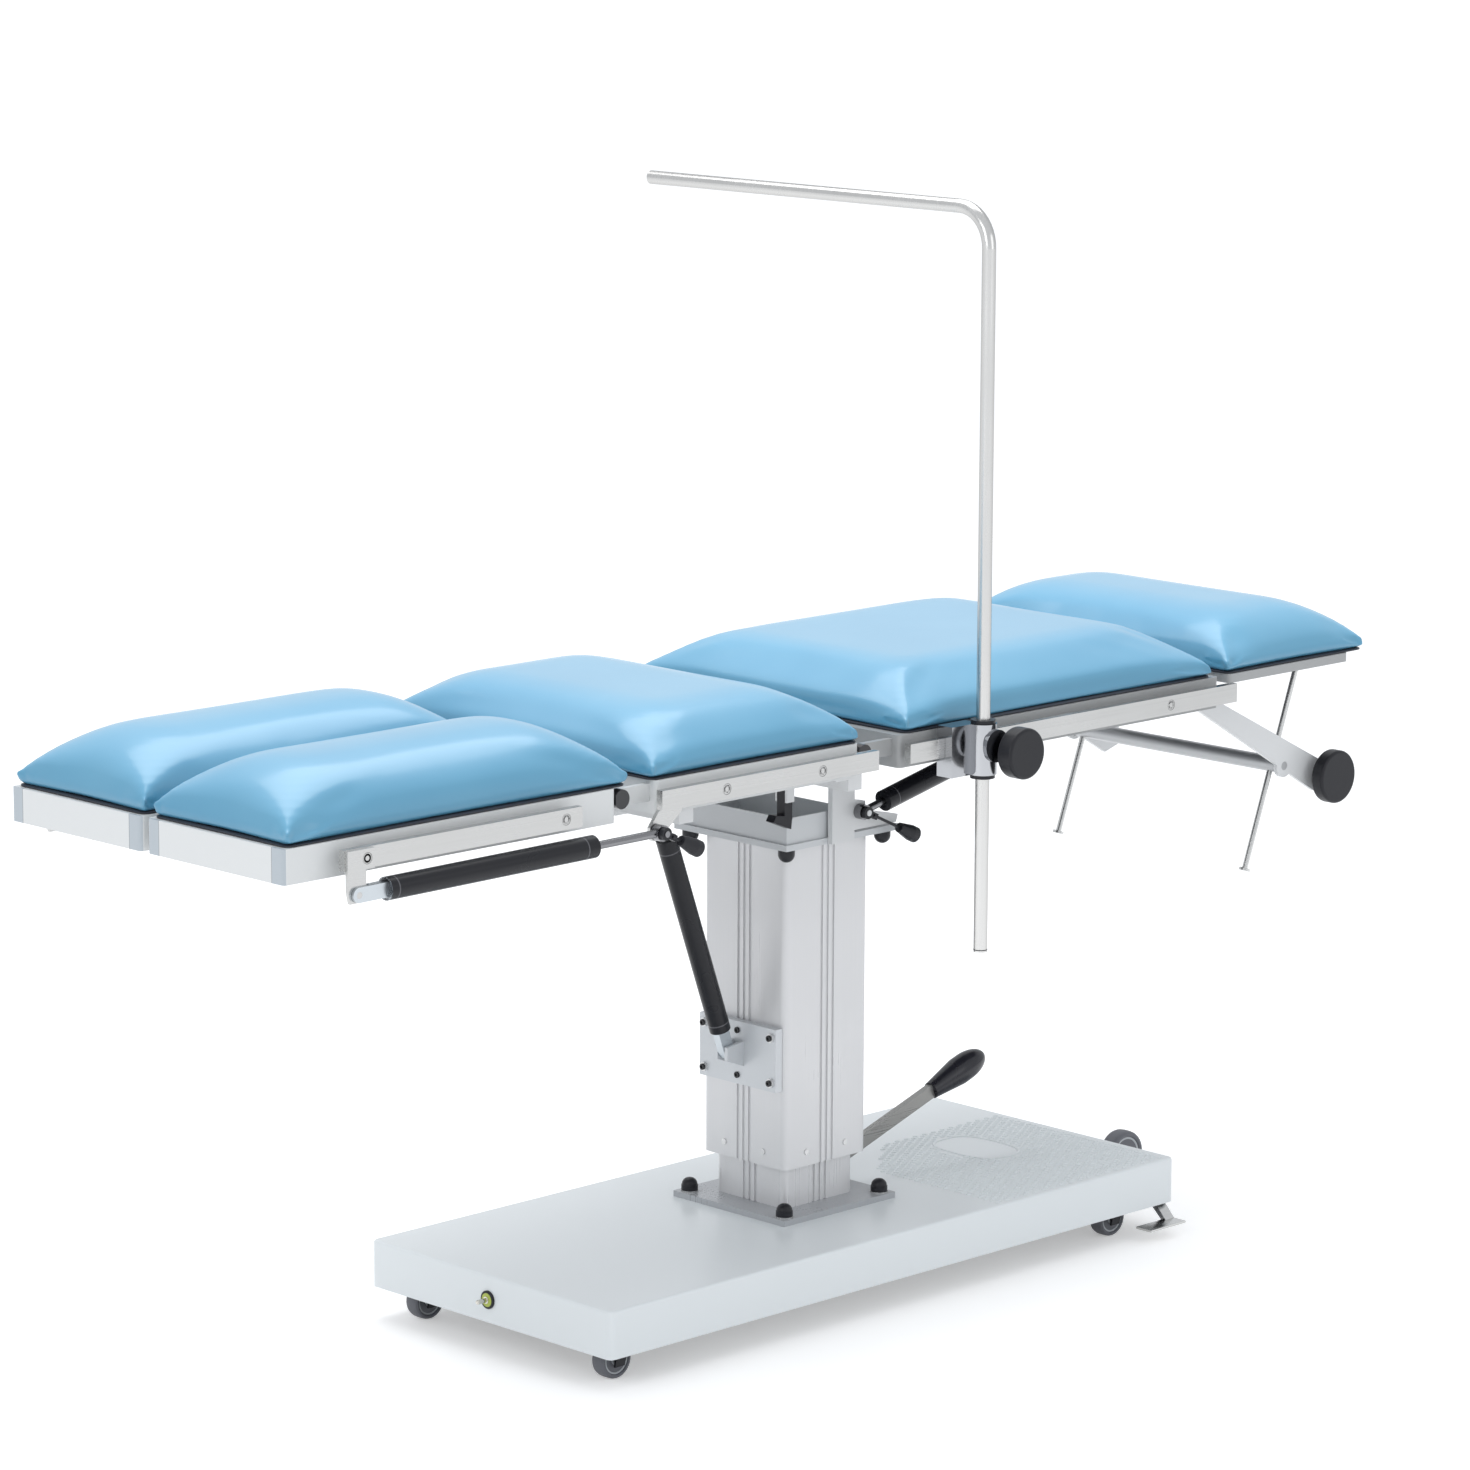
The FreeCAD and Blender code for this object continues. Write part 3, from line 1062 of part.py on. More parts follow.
def gas_spring(name, y, foot, eye_at, fork, tube_long, sink, stroke, stub_side):
    """A gas spring along +X from its fork pivot, turned and put in place at the end."""
    span_x = "((%s) - (%s))" % (eye_at[0], foot[0])
    span_z = "((%s) - (%s))" % (eye_at[1], foot[1])
    reach = "sqrt(%s ^ 2 + %s ^ 2)" % (span_x, span_z)
    end = "%s + %s" % (fork, tube_long)
    tang = box("0", fork, "-eye_wide / 2", "eye_wide / 2", "-(eye_radius - 1)", "eye_radius - 1")
    nose = round_bar("y", "eye_radius - 1", "-eye_wide / 2", "eye_wide / 2", "0", "0")
    tube = round_bar("x", "spring_radius", fork + " - 1", end, "0", "0")
    bore = round_bar("x", "rod_radius + run_fit", "%s - (%s) - %s - 8" % (end, sink, stroke), "%s + 1" % end, "0", "0")
    hole = round_bar("y", "spring_pin + run_fit", "-eye_wide", "eye_wide", "0", "0")
    slot = box("-eye_radius - 1", "tab_wide - tab_pivot + 5", "-clevis_slot / 2", "clevis_slot / 2",
               "-eye_radius", "eye_radius")
    cuts = {"back": [bore], "tilt": [bore, hole]}.get(name, [bore, hole, slot])
    cylinder = without(joined(tang, nose, tube), *cuts)
    rod = round_bar("x", "rod_radius", "%s - (%s)" % (end, sink), "%s - eye_radius + 2" % reach, "0", "0")
    eye = round_bar("y", "eye_radius", "-eye_wide / 2", "eye_wide / 2", reach, "0")
    head = joined(rod, eye)
    if name == "back":
        head = without(head, round_bar("y", "spring_pin + run_fit", "-eye_wide", "eye_wide", reach, "0"))
    if stub_side:
        near, far = span(stub_side, "eye_wide / 2 - 1", "eye_wide / 2 + free_gap + lever_thick + 1")
        head = joined(head, round_bar("y", "spring_pin", near, far, reach, "0"))
    for label, thing in (("cylinder", cylinder), ("rod", head)):
        turn(thing, Y_AXIS, "360 - atan2(%s; %s) / 1deg" % (span_z, span_x))
        piece("%s_%s" % (name, label), put(thing, foot[0], y, foot[1]))


def release_handle(name, side, from_middle, x, z, stalk, lean):
    """A release lever beside a spring's eye: a flat arm, a thin stalk and a conical grip."""
    face = "%s + eye_wide / 2 + free_gap" % from_middle
    near, far = span(side, face, face + " + lever_thick")
    middle = at(side, face + " + lever_thick")
    arm = joined(box("0", "18", near, far, "-4", "4"), round_bar("y", "spring_pin + 4", near, far, "0", "0"))
    rod = round_bar("x", "2", "10", "%s + 4" % stalk, middle, "0")
    grip = taper("x", "handle_radius - 4", "handle_radius", stalk, "%s + handle_long * 0.7" % stalk, middle, "0")
    cap = round_bar("x", "handle_radius", "%s + handle_long * 0.7 - 0.1" % stalk, "%s + handle_long" % stalk,
                    middle, "0")
    bore = round_bar("y", "spring_pin + run_fit", "(%s) - 1" % near, "(%s) + 1" % far, "0", "0")
    whole = without(joined(arm, rod, grip, cap), bore)
    turn(whole, Y_AXIS, lean)
    piece(name, put(whole, x, "0", z))


# Screen


def screen():
    low = "rail_top - rail_deep / 2 - 38"
    high = "rail_top + 15"
    left = "pole_x - clamp_reach"
    right = "pole_x - 2"
    back_face = "-(table_half + rail_off - 4)"
    front = "%s + 4" % POLE_Y
    far_rail = "-%s + free_gap" % RAIL_IN
    near_rail = "-%s - free_gap" % RAIL_OUT
    jaw = box(left, right, front, back_face, low, high)
    shoulder = round_bar("z", "sleeve_radius + 5", low, high, "pole_x", POLE_Y)
    lug = box("pole_x", "pole_x + clamp_knob_x + 12", "%s - 8" % POLE_Y, "%s + 8" % POLE_Y,
              "clamp_knob_z - 14", "clamp_knob_z + 14")
    disc = round_bar("y", "clamp_disc_radius", "%s - sleeve_radius - 9" % POLE_Y, "%s - sleeve_radius - 3" % POLE_Y,
                     "pole_x + 4", "clamp_knob_z + 10")
    seat_cut = round_bar("z", "sleeve_radius + run_fit", low + " - 1", high + " + 1", "pole_x", POLE_Y)
    channel = box(left + " - 1", right + " + 60", near_rail, far_rail, "rail_top - rail_deep - free_gap",
                  "rail_top + free_gap")
    slot = box(left + " - 1", right + " + 60", near_rail, back_face + " + 1",
               RAIL_Z + " - spacer_radius - 2", RAIL_Z + " + spacer_radius + 2")
    screw_bore = round_bar("y", "axle_radius + run_fit", "%s - 9" % POLE_Y, near_rail + " + 5",
                           "pole_x + clamp_knob_x", "clamp_knob_z")
    neck_room = round_bar("y", "axle_radius * 3 + free_gap", "%s - sleeve_radius - 10" % POLE_Y, "%s - 8" % POLE_Y,
                          "pole_x + clamp_knob_x", "clamp_knob_z")
    piece("clamp_body", without(joined(jaw, shoulder, lug, disc), seat_cut, channel, slot, screw_bore, neck_room))
    collar = round_bar("z", "sleeve_radius", "(%s) - 3" % low, "(%s) + 3" % high, "pole_x", POLE_Y)
    rims = [round_bar("z", "sleeve_radius + 3", "(%s) + free_gap" % high, "(%s) + 5" % high, "pole_x", POLE_Y),
            round_bar("z", "sleeve_radius + 3", "(%s) - 5" % low, "(%s) - free_gap" % low, "pole_x", POLE_Y)]
    pole_bore = round_bar("z", "pole_radius + run_fit", "(%s) - 9" % low, "(%s) + 9" % high, "pole_x", POLE_Y)
    piece("clamp_sleeve", without(joined(collar, *rims), pole_bore))
    knob("clamp_knob", "clamp_knob_radius", "clamp_knob_thick", "-(%s) + 8 + free_gap" % POLE_Y, "18",
         RAIL_OUT + " + 1.5", "pole_x + clamp_knob_x", "clamp_knob_z")
    bends = []
    straight = round_bar("z", "pole_radius", "pole_foot_z", "screen_z - screen_bend", "pole_x", POLE_Y)
    cross = round_bar("y", "pole_radius", "%s + screen_bend" % POLE_Y, "%s + screen_reach" % POLE_Y,
                      "pole_x", "screen_z")
    elbow = doc.addObject("Part::Torus", "elbow")
    bind(elbow, "Radius1", "screen_bend")
    bind(elbow, "Radius2", "pole_radius")
    elbow.Placement = FreeCAD.Placement(FreeCAD.Vector(), FreeCAD.Rotation(Y_AXIS, 90))
    put(elbow, "pole_x", "%s + screen_bend" % POLE_Y, "screen_z - screen_bend")
    quarter = box("pole_x - 20", "pole_x + 20", "%s - 20" % POLE_Y, "%s + screen_bend" % POLE_Y,
                  "screen_z - screen_bend", "screen_z + 20")
    bends.append(overlap(elbow, quarter))
    piece("screen_frame", joined(straight, cross, *bends))


base_cover()
base_chassis()
column_fixed()
hydraulics()
bonding()
pump()
brake()
for end_name, end in (("foot", -1), ("head", 1)):
    for side_name, side in (("near", NEAR), ("far", FAR)):
        caster("%s_%s" % (end_name, side_name), end, side)
piece("transport_wheel", wheel("transport_tyre", "transport_radius", "transport_wide", "transport_x",
                               "transport_radius + floor_gap"))
column_head()
spring_anchor()
seat()
seat_brackets()
tilt_handle()
back()
head()
head_guides()
head_arms()
knob("head_knob", "knob_radius", "knob_thick", "arm_y + arm_thick + free_gap", "14", "arm_y - 3", "knob_x", "knob_z")
for side_name, side in (("near", NEAR), ("far", FAR)):
    leg("%s" % side_name, side)
    gas_spring("leg_" + side_name, at(side, "leg_spring_y"), ("leg_spring_foot_x", "leg_spring_foot_z"),
               ("leg_spring_eye_x", "leg_spring_eye_z"), "leg_fork", "leg_tube_long", "60", "leg_stroke", side)
    release_handle("leg_%s_lever" % side_name, side, "leg_spring_y", "leg_spring_eye_x", "leg_spring_eye_z",
                   "leg_stalk", "leg_handle_lean")
gas_spring("tilt", "0", ("tilt_spring_foot_x", "tilt_spring_foot_z"), ("tilt_spring_eye_x", "tilt_spring_eye_z"),
           "tilt_fork", "tilt_tube_long", "90", "tilt_stroke", 0)
gas_spring("back", "-back_spring_y", ("back_spring_foot_x", "back_spring_foot_z"),
           ("back_spring_eye_x", "back_spring_eye_z"), "back_fork", "back_tube_long", "back_stroke + 20", "0", 0)
release_handle("back_lever", NEAR, "back_spring_y", "back_spring_eye_x", "back_spring_eye_z",
               "back_stalk", "back_handle_lean")
screen()

doc.recompute()

# Checks and export

faults = []
for thing in doc.Objects:
    if {"Invalid", "Error"} & set(thing.State):
        faults.append("%s (%s)" % (thing.Name, thing.TypeId))
for thing in pieces:
    if thing.Shape.isNull() or not thing.Shape.isValid() or not thing.Shape.Solids:
        faults.append(thing.Label)
if faults:
    raise RuntimeError("These did not build: " + ", ".join(faults))

os.makedirs("parts", exist_ok=True)
for thing in pieces:
    thing.Shape.exportStep("parts/%s.step" % thing.Label)
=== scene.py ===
import bmesh
import bpy
import json
import math
from mathutils import Matrix, Vector


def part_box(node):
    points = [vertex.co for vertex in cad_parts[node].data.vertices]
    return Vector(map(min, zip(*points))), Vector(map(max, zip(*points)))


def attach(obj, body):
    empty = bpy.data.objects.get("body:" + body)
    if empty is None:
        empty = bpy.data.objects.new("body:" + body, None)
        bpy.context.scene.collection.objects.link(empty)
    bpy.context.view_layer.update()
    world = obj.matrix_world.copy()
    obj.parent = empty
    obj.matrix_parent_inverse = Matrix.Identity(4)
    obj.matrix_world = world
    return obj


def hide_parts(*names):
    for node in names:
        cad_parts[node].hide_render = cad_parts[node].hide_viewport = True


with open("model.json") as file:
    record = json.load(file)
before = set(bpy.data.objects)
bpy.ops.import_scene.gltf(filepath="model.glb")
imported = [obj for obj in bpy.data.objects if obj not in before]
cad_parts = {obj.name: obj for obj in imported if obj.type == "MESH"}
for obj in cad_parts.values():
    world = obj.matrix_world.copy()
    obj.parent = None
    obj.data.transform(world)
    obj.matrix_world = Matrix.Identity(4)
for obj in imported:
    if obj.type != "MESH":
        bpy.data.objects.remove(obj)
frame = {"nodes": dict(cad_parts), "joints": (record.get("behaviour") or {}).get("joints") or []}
node = frame["nodes"]
joint_of = {one["name"]: one for one in frame["joints"]}
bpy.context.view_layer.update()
scene = bpy.context.scene
scene.view_settings.view_transform = "Standard"


# Base cover. A moulded shell of pale blue-grey, semi-gloss plastic that drops over the steel chassis. At the
# head end short moulded bars give the surgeon's shoe some grip, with a bare oval between them.

def add(tree, kind, **values):
    """A shader node with the named settings and plain input values."""
    made = tree.nodes.new(kind)
    for name, value in values.items():
        if hasattr(made, name):
            setattr(made, name, value)
        else:
            made.inputs[name.replace("_", " ")].default_value = value
    return made


def wire(tree, *pairs):
    """Joins each output to its input."""
    for source, target in pairs:
        tree.links.new(source, target)


def start_group(name, inputs, outputs):
    """An empty node group. Inputs are (name, kind, default), outputs are (name, kind)."""
    group = bpy.data.node_groups.new(name, "ShaderNodeTree")
    for label, kind, value in inputs:
        socket = group.interface.new_socket(label, in_out="INPUT", socket_type=kind)
        socket.default_value = value
    for label, kind in outputs:
        group.interface.new_socket(label, in_out="OUTPUT", socket_type=kind)
    return group, group.nodes.new("NodeGroupInput"), group.nodes.new("NodeGroupOutput")


# Handling marks: soft cloudy variation of tone and gloss with faint fine dirt, in every painted or plated
# finish.
handling, marks_in, marks_out = start_group(
    "Handling Marks",
    [("Cloud Size", "NodeSocketFloat", 6.0), ("Fine Size", "NodeSocketFloat", 120.0),
     ("Strength", "NodeSocketFloat", 0.3), ("Roughness", "NodeSocketFloat", 0.4)],
    [("Tone", "NodeSocketFloat"), ("Roughness", "NodeSocketFloat"), ("Height", "NodeSocketFloat")])
place = add(handling, "ShaderNodeTexCoord")
cloud = add(handling, "ShaderNodeTexNoise", Detail=4.0)
fine = add(handling, "ShaderNodeTexNoise", Detail=3.0)
tone = add(handling, "ShaderNodeMath", operation="MULTIPLY_ADD")
tone.inputs[2].default_value = 0.5
centred = add(handling, "ShaderNodeMath", operation="SUBTRACT")
centred.inputs[1].default_value = 0.5
mixed = add(handling, "ShaderNodeMath", operation="ADD")
gloss = add(handling, "ShaderNodeMath", operation="MULTIPLY_ADD")
wire(handling, (place.outputs["Object"], cloud.inputs["Vector"]),
     (place.outputs["Object"], fine.inputs["Vector"]),
     (marks_in.outputs["Cloud Size"], cloud.inputs["Scale"]),
     (marks_in.outputs["Fine Size"], fine.inputs["Scale"]), (cloud.outputs["Fac"], centred.inputs[0]),
     (centred.outputs[0], tone.inputs[0]), (marks_in.outputs["Strength"], tone.inputs[1]),
     (tone.outputs[0], marks_out.inputs["Tone"]), (fine.outputs["Fac"], mixed.inputs[0]),
     (cloud.outputs["Fac"], mixed.inputs[1]), (centred.outputs[0], gloss.inputs[0]),
     (marks_in.outputs["Strength"], gloss.inputs[1]), (marks_in.outputs["Roughness"], gloss.inputs[2]),
     (gloss.outputs[0], marks_out.inputs["Roughness"]), (mixed.outputs[0], marks_out.inputs["Height"]))


def finish_of(name, dark, light, roughness, metallic=0.0, strength=0.25, cloud=6.0, grit=140.0, bump=0.02,
              coat=0.0, coat_roughness=0.2, bump_distance=0.0004):
    """A paint, plating or moulded plastic whose tone, gloss and surface vary with the handling marks."""
    made = bpy.data.materials.new(name)
    made.use_nodes = True
    tree = made.node_tree
    shader = tree.nodes["Principled BSDF"]
    marks = add(tree, "ShaderNodeGroup")
    marks.node_tree = handling
    marks.inputs["Cloud Size"].default_value = cloud
    marks.inputs["Fine Size"].default_value = grit
    marks.inputs["Strength"].default_value = strength
    marks.inputs["Roughness"].default_value = roughness
    colours = add(tree, "ShaderNodeMix", data_type="RGBA")
    colours.inputs[6].default_value = (*dark, 1)
    colours.inputs[7].default_value = (*light, 1)
    skin = add(tree, "ShaderNodeBump", Strength=bump * 10, Distance=bump_distance)
    wire(tree, (marks.outputs["Tone"], colours.inputs[0]),
         (colours.outputs[2], shader.inputs["Base Color"]),
         (marks.outputs["Roughness"], shader.inputs["Roughness"]),
         (marks.outputs["Height"], skin.inputs["Height"]),
         (skin.outputs["Normal"], shader.inputs["Normal"]))
    shader.inputs["Metallic"].default_value = metallic
    shader.inputs["Coat Weight"].default_value = coat
    shader.inputs["Coat Roughness"].default_value = coat_roughness
    return made


def dress(names, material, bevel=0.0012):
    """Gives CAD nodes a finish and softens their edges as deburring does."""
    for name in names:
        piece = node[name]
        piece.data.materials.clear()
        piece.data.materials.append(material)
        if bevel:
            edge = piece.modifiers.new("Deburred edges", "BEVEL")
            edge.width = bevel
            edge.segments = 2
            edge.limit_method = "ANGLE"
            edge.angle_limit = math.radians(40)
            edge.harden_normals = True


def solid(name, mesh, body, material, smooth=True):
    """Turns a bmesh into a piece that rides on a body."""
    bmesh.ops.recalc_face_normals(mesh, faces=mesh.faces)
    data = bpy.data.meshes.new(name)
    mesh.to_mesh(data)
    mesh.free()
    for face in data.polygons:
        face.use_smooth = smooth
    piece = bpy.data.objects.new(name, data)
    scene.collection.objects.link(piece)
    data.materials.append(material)
    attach(piece, body)
    return piece


moulding = finish_of("Base moulding", (0.76, 0.80, 0.815), (0.81, 0.85, 0.865), 0.30, strength=0.12,
                     cloud=2.5, bump=0.003, coat=0.2)
dress(["base_cover"], moulding, 0)

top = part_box("base_cover")[1].z
field_foot, field_head, field_near, field_far = 0.184, 0.508, -0.214, 0.094
lever_start_y, lever_slope = 0.004, 0.90
bare_x, bare_y, bare_half_x, bare_half_y = 0.366, -0.006, 0.050, 0.068
pip_pitch_x, pip_pitch_y, pip_height, pip_root = 0.0090, 0.0105, 0.0014, -0.0004
pip_angle = -math.atan2(pip_pitch_y / 2, pip_pitch_x)
pip_half_long, pip_half_wide = 0.0040, 0.0022
pip_corners = ((-1, -0.5), (-0.6, -1), (0.6, -1), (1, -0.5), (1, 0.5), (0.6, 1), (-0.6, 1), (-1, 0.5))


def pip(mesh, x, y):
    """One moulded bar of the tread, with a narrower top."""
    rings = []
    for height, size in ((pip_root, 1.0), (pip_height * 0.6, 0.88), (pip_height, 0.60)):
        ring = []
        for along, across in pip_corners:
            u, v = along * pip_half_long * size, across * pip_half_wide * size
            ring.append(mesh.verts.new((x + u * math.cos(pip_angle) - v * math.sin(pip_angle),
                                        y + u * math.sin(pip_angle) + v * math.cos(pip_angle), top + height)))
        rings.append(ring)
    for lower, upper in zip(rings, rings[1:]):
        for k in range(len(pip_corners)):
            j = (k + 1) % len(pip_corners)
            mesh.faces.new((lower[k], lower[j], upper[j], upper[k]))
    mesh.faces.new(rings[-1])
    mesh.faces.new(rings[0][::-1])


pips = bmesh.new()
for row in range(int((field_head - field_foot) / pip_pitch_x) + 1):
    x = field_foot + row * pip_pitch_x
    y = field_near + (row % 2) * pip_pitch_y / 2
    while y < field_far:
        bare = ((x - bare_x) / bare_half_x) ** 2 + ((y - bare_y) / bare_half_y) ** 2 < 1
        behind_lever = y > lever_start_y + (x - field_foot) * lever_slope
        if not bare and not behind_lever:
            pip(pips, x, y)
        y += pip_pitch_y
solid("base_tread_pips", pips, "base", moulding, smooth=False)

# The low rim of the bare patch, a rounded oblong.
bare_rim = bmesh.new()
rim_steps, roundness = 96, 0.7


def fuller(value):
    """A sine or cosine pushed outward, which turns a circle into a rounded oblong."""
    return math.copysign(abs(value) ** roundness, value)


rings = []
for inset, height in ((0.010, -0.0002), (0.0085, 0.0012), (0.0065, 0.0012), (0.005, -0.0002)):
    rings.append([bare_rim.verts.new((bare_x + (bare_half_x - inset) * fuller(math.cos(t)),
                                      bare_y + (bare_half_y - inset) * fuller(math.sin(t)), top + height))
                  for t in (2 * math.pi * k / rim_steps for k in range(rim_steps))])
for inner, outer in zip(rings, rings[1:] + rings[:1]):
    for k in range(rim_steps):
        j = (k + 1) % rim_steps
        bare_rim.faces.new((inner[k], inner[j], outer[j], outer[k]))
solid("base_tread_rim", bare_rim, "base", moulding)


# Chassis and column foot. Welded steel under the cover, painted dark, and the ground steel foot plate
# with the fixed inner extrusion, brushed along its length.

chassis_paint = finish_of("Chassis paint", (0.045, 0.047, 0.05), (0.075, 0.078, 0.083), 0.45, strength=0.5)
dress(["base_chassis"], chassis_paint)

# Brushing: fine lines along one axis, in the ground and drawn metals.
brushing, brush_in, brush_out = start_group(
    "Brushing",
    [("Stretch", "NodeSocketVector", (4.0, 400.0, 400.0)), ("Amount", "NodeSocketFloat", 0.15),
     ("Roughness", "NodeSocketFloat", 0.3)],
    [("Tone", "NodeSocketFloat"), ("Roughness", "NodeSocketFloat"), ("Height", "NodeSocketFloat")])
place = add(brushing, "ShaderNodeTexCoord")
stretched = add(brushing, "ShaderNodeVectorMath", operation="MULTIPLY")
lines = add(brushing, "ShaderNodeTexNoise", Scale=1.0, Detail=5.0)
clouds = add(brushing, "ShaderNodeTexNoise", Scale=9.0, Detail=3.0)
both = add(brushing, "ShaderNodeMath", operation="ADD")
off = add(brushing, "ShaderNodeMath", operation="SUBTRACT")
off.inputs[1].default_value = 1.0
tone = add(brushing, "ShaderNodeMath", operation="MULTIPLY_ADD")
tone.inputs[2].default_value = 0.5
gloss = add(brushing, "ShaderNodeMath", operation="MULTIPLY_ADD")
wire(brushing, (place.outputs["Object"], stretched.inputs[0]),
     (brush_in.outputs["Stretch"], stretched.inputs[1]), (stretched.outputs[0], lines.inputs["Vector"]),
     (place.outputs["Object"], clouds.inputs["Vector"]), (lines.outputs["Fac"], both.inputs[0]),
     (clouds.outputs["Fac"], both.inputs[1]), (both.outputs[0], off.inputs[0]),
     (off.outputs[0], tone.inputs[0]), (brush_in.outputs["Amount"], tone.inputs[1]),
     (off.outputs[0], gloss.inputs[0]), (brush_in.outputs["Amount"], gloss.inputs[1]),
     (brush_in.outputs["Roughness"], gloss.inputs[2]), (tone.outputs[0], brush_out.inputs["Tone"]),
     (gloss.outputs[0], brush_out.inputs["Roughness"]), (lines.outputs["Fac"], brush_out.inputs["Height"]))


def brushed_metal(name, dark, light, roughness, along, amount=0.4, metallic=1.0, bump=0.25, lines=420.0):
    """A metal brushed along x, y or z."""
    made = bpy.data.materials.new(name)
    made.use_nodes = True
    tree = made.node_tree
    shader = tree.nodes["Principled BSDF"]
    brush = add(tree, "ShaderNodeGroup")
    brush.node_tree = brushing
    brush.inputs["Stretch"].default_value = [4.0 if axis == along else lines for axis in "xyz"]
    brush.inputs["Amount"].default_value = amount
    brush.inputs["Roughness"].default_value = roughness
    colours = add(tree, "ShaderNodeMix", data_type="RGBA")
    colours.inputs[6].default_value = (*dark, 1)
    colours.inputs[7].default_value = (*light, 1)
    skin = add(tree, "ShaderNodeBump", Strength=bump, Distance=0.0002)
    wire(tree, (brush.outputs["Tone"], colours.inputs[0]),
         (colours.outputs[2], shader.inputs["Base Color"]),
         (brush.outputs["Roughness"], shader.inputs["Roughness"]),
         (brush.outputs["Height"], skin.inputs["Height"]),
         (skin.outputs["Normal"], shader.inputs["Normal"]))
    shader.inputs["Metallic"].default_value = metallic
    return made


def extruded(name):
    """Natural aluminium with faint draw lines."""
    return brushed_metal(name, (0.66, 0.66, 0.67), (0.76, 0.76, 0.765), 0.40, "z", amount=0.5, metallic=0.30,
                         bump=0.08)


# The column's foot plate is ground steel, darker than the profile that stands on it.
foot_metal = extruded("Profile on its foot plate")
tree = foot_metal.node_tree
shader = tree.nodes["Principled BSDF"]
profile_tone = shader.inputs["Base Color"].links[0].from_socket
place = add(tree, "ShaderNodeTexCoord")
height = add(tree, "ShaderNodeSeparateXYZ")
plate_thick = 0.0083
in_plate = add(tree, "ShaderNodeMath", operation="LESS_THAN")
in_plate.inputs[1].default_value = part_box("column_fixed_tube")[0].z + plate_thick
plate_tone = add(tree, "ShaderNodeMix", data_type="RGBA", blend_type="MULTIPLY")
plate_tone.inputs[7].default_value = (0.66, 0.68, 0.70, 1)
wire(tree, (place.outputs["Object"], height.inputs[0]), (height.outputs["Z"], in_plate.inputs[0]),
     (in_plate.outputs[0], plate_tone.inputs[0]), (profile_tone, plate_tone.inputs[6]),
     (plate_tone.outputs[2], shader.inputs["Base Color"]))
dress(["column_fixed_tube"], foot_metal, 0.0006)
dress(["hydraulic_unit", "lift_ram"],
      brushed_metal("Ground steel", (0.30, 0.30, 0.30), (0.50, 0.50, 0.49), 0.3, "z"))


# Foot plate nuts. Four black moulded caps pushed over the column's nuts, each on a thin steel washer.

def turned(name, start, direction, profile, body, material, steps=40, hidden=None,
           smooth_angle=35):
    """A piece turned on a lathe: (distance, radius) pairs along a direction from a start point, in metres."""
    axis = Vector(direction).normalized()
    side = axis.orthogonal().normalized()
    other = axis.cross(side)
    start = Vector(start)
    mesh = bmesh.new()
    loops = []
    for distance, radius in profile:
        centre = start + axis * distance
        if radius < 1e-6:
            loops.append([mesh.verts.new(centre)])
        else:
            loops.append([mesh.verts.new(centre + radius * (math.cos(t) * side + math.sin(t) * other))
                          for t in (2 * math.pi * k / steps for k in range(steps))])
    for first, second in zip(loops, loops[1:]):
        for k in range(steps):
            j = (k + 1) % steps
            if len(first) == 1 and len(second) == 1:
                continue
            if len(first) == 1:
                mesh.faces.new((first[0], second[k], second[j]))
            elif len(second) == 1:
                mesh.faces.new((first[k], first[j], second[0]))
            else:
                mesh.faces.new((first[k], first[j], second[j], second[k]))
    for end, loop in ((0, loops[0]), (1, loops[-1])):
        if len(loop) > 1:
            mesh.faces.new(loop if end else loop[::-1])
    piece = solid(name, mesh, body, material)
    piece.data.set_sharp_from_angle(angle=math.radians(smooth_angle))
    if hidden:
        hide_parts(*hidden)
    return piece


black_moulding = finish_of("Black moulding", (0.008, 0.008, 0.011), (0.020, 0.021, 0.026), 0.36, strength=0.4)
black_moulding.node_tree.nodes["Principled BSDF"].inputs["Specular IOR Level"].default_value = 0.32
washer_steel = brushed_metal("Washer steel", (0.45, 0.45, 0.45), (0.68, 0.68, 0.67), 0.28, "x")
bolt_half_pitch, plate_top = 0.0885, 0.112
nut_cap = [(0.0016, 0.0095), (0.0016, 0.0112), (0.0085, 0.0112), (0.0088, 0.0105), (0.0092, 0.0105),
           (0.0125, 0.0098), (0.0152, 0.0080), (0.0172, 0.0052), (0.0180, 0.0022), (0.0181, 0.0)]
nut_washer = [(0.0, 0.0), (0.0, 0.0122), (0.0016, 0.0122), (0.0016, 0.0)]
for number, (sx, sy) in enumerate(((-1, -1), (1, -1), (1, 1), (-1, 1))):
    spot = (sx * bolt_half_pitch, sy * bolt_half_pitch, plate_top)
    turned("column_nut_cap_%d" % number, spot, (0, 0, 1), nut_cap, "base", black_moulding)
    turned("column_nut_washer_%d" % number, spot, (0, 0, 1), nut_washer, "base", washer_steel)
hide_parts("column_nut_caps")


# Bonding pin. A nickel-plated potential-equalisation pin in a brass-yellow ringed insulator on the foot end.

pin_metal = finish_of("Nickel plate", (0.62, 0.60, 0.55), (0.72, 0.70, 0.64), 0.2, metallic=1.0)
ring_yellow = finish_of("Yellow-green ring", (0.42, 0.50, 0.08), (0.50, 0.58, 0.12), 0.4)
pin_root = (-0.526, 0.0, 0.072)
turned("bonding_insulator", pin_root, (-1, 0, 0),
       [(0.0, 0.0), (0.0, 0.0118), (0.0022, 0.0118), (0.0030, 0.0108), (0.0030, 0.0092), (0.0022, 0.0088),
        (0.0022, 0.0)], "base", black_moulding, hidden=["bonding_pin"])
turned("bonding_ring", pin_root, (-1, 0, 0),
       [(0.0022, 0.0046), (0.0022, 0.0088), (0.0032, 0.0088), (0.0034, 0.0072), (0.0034, 0.0046)],
       "base", ring_yellow)
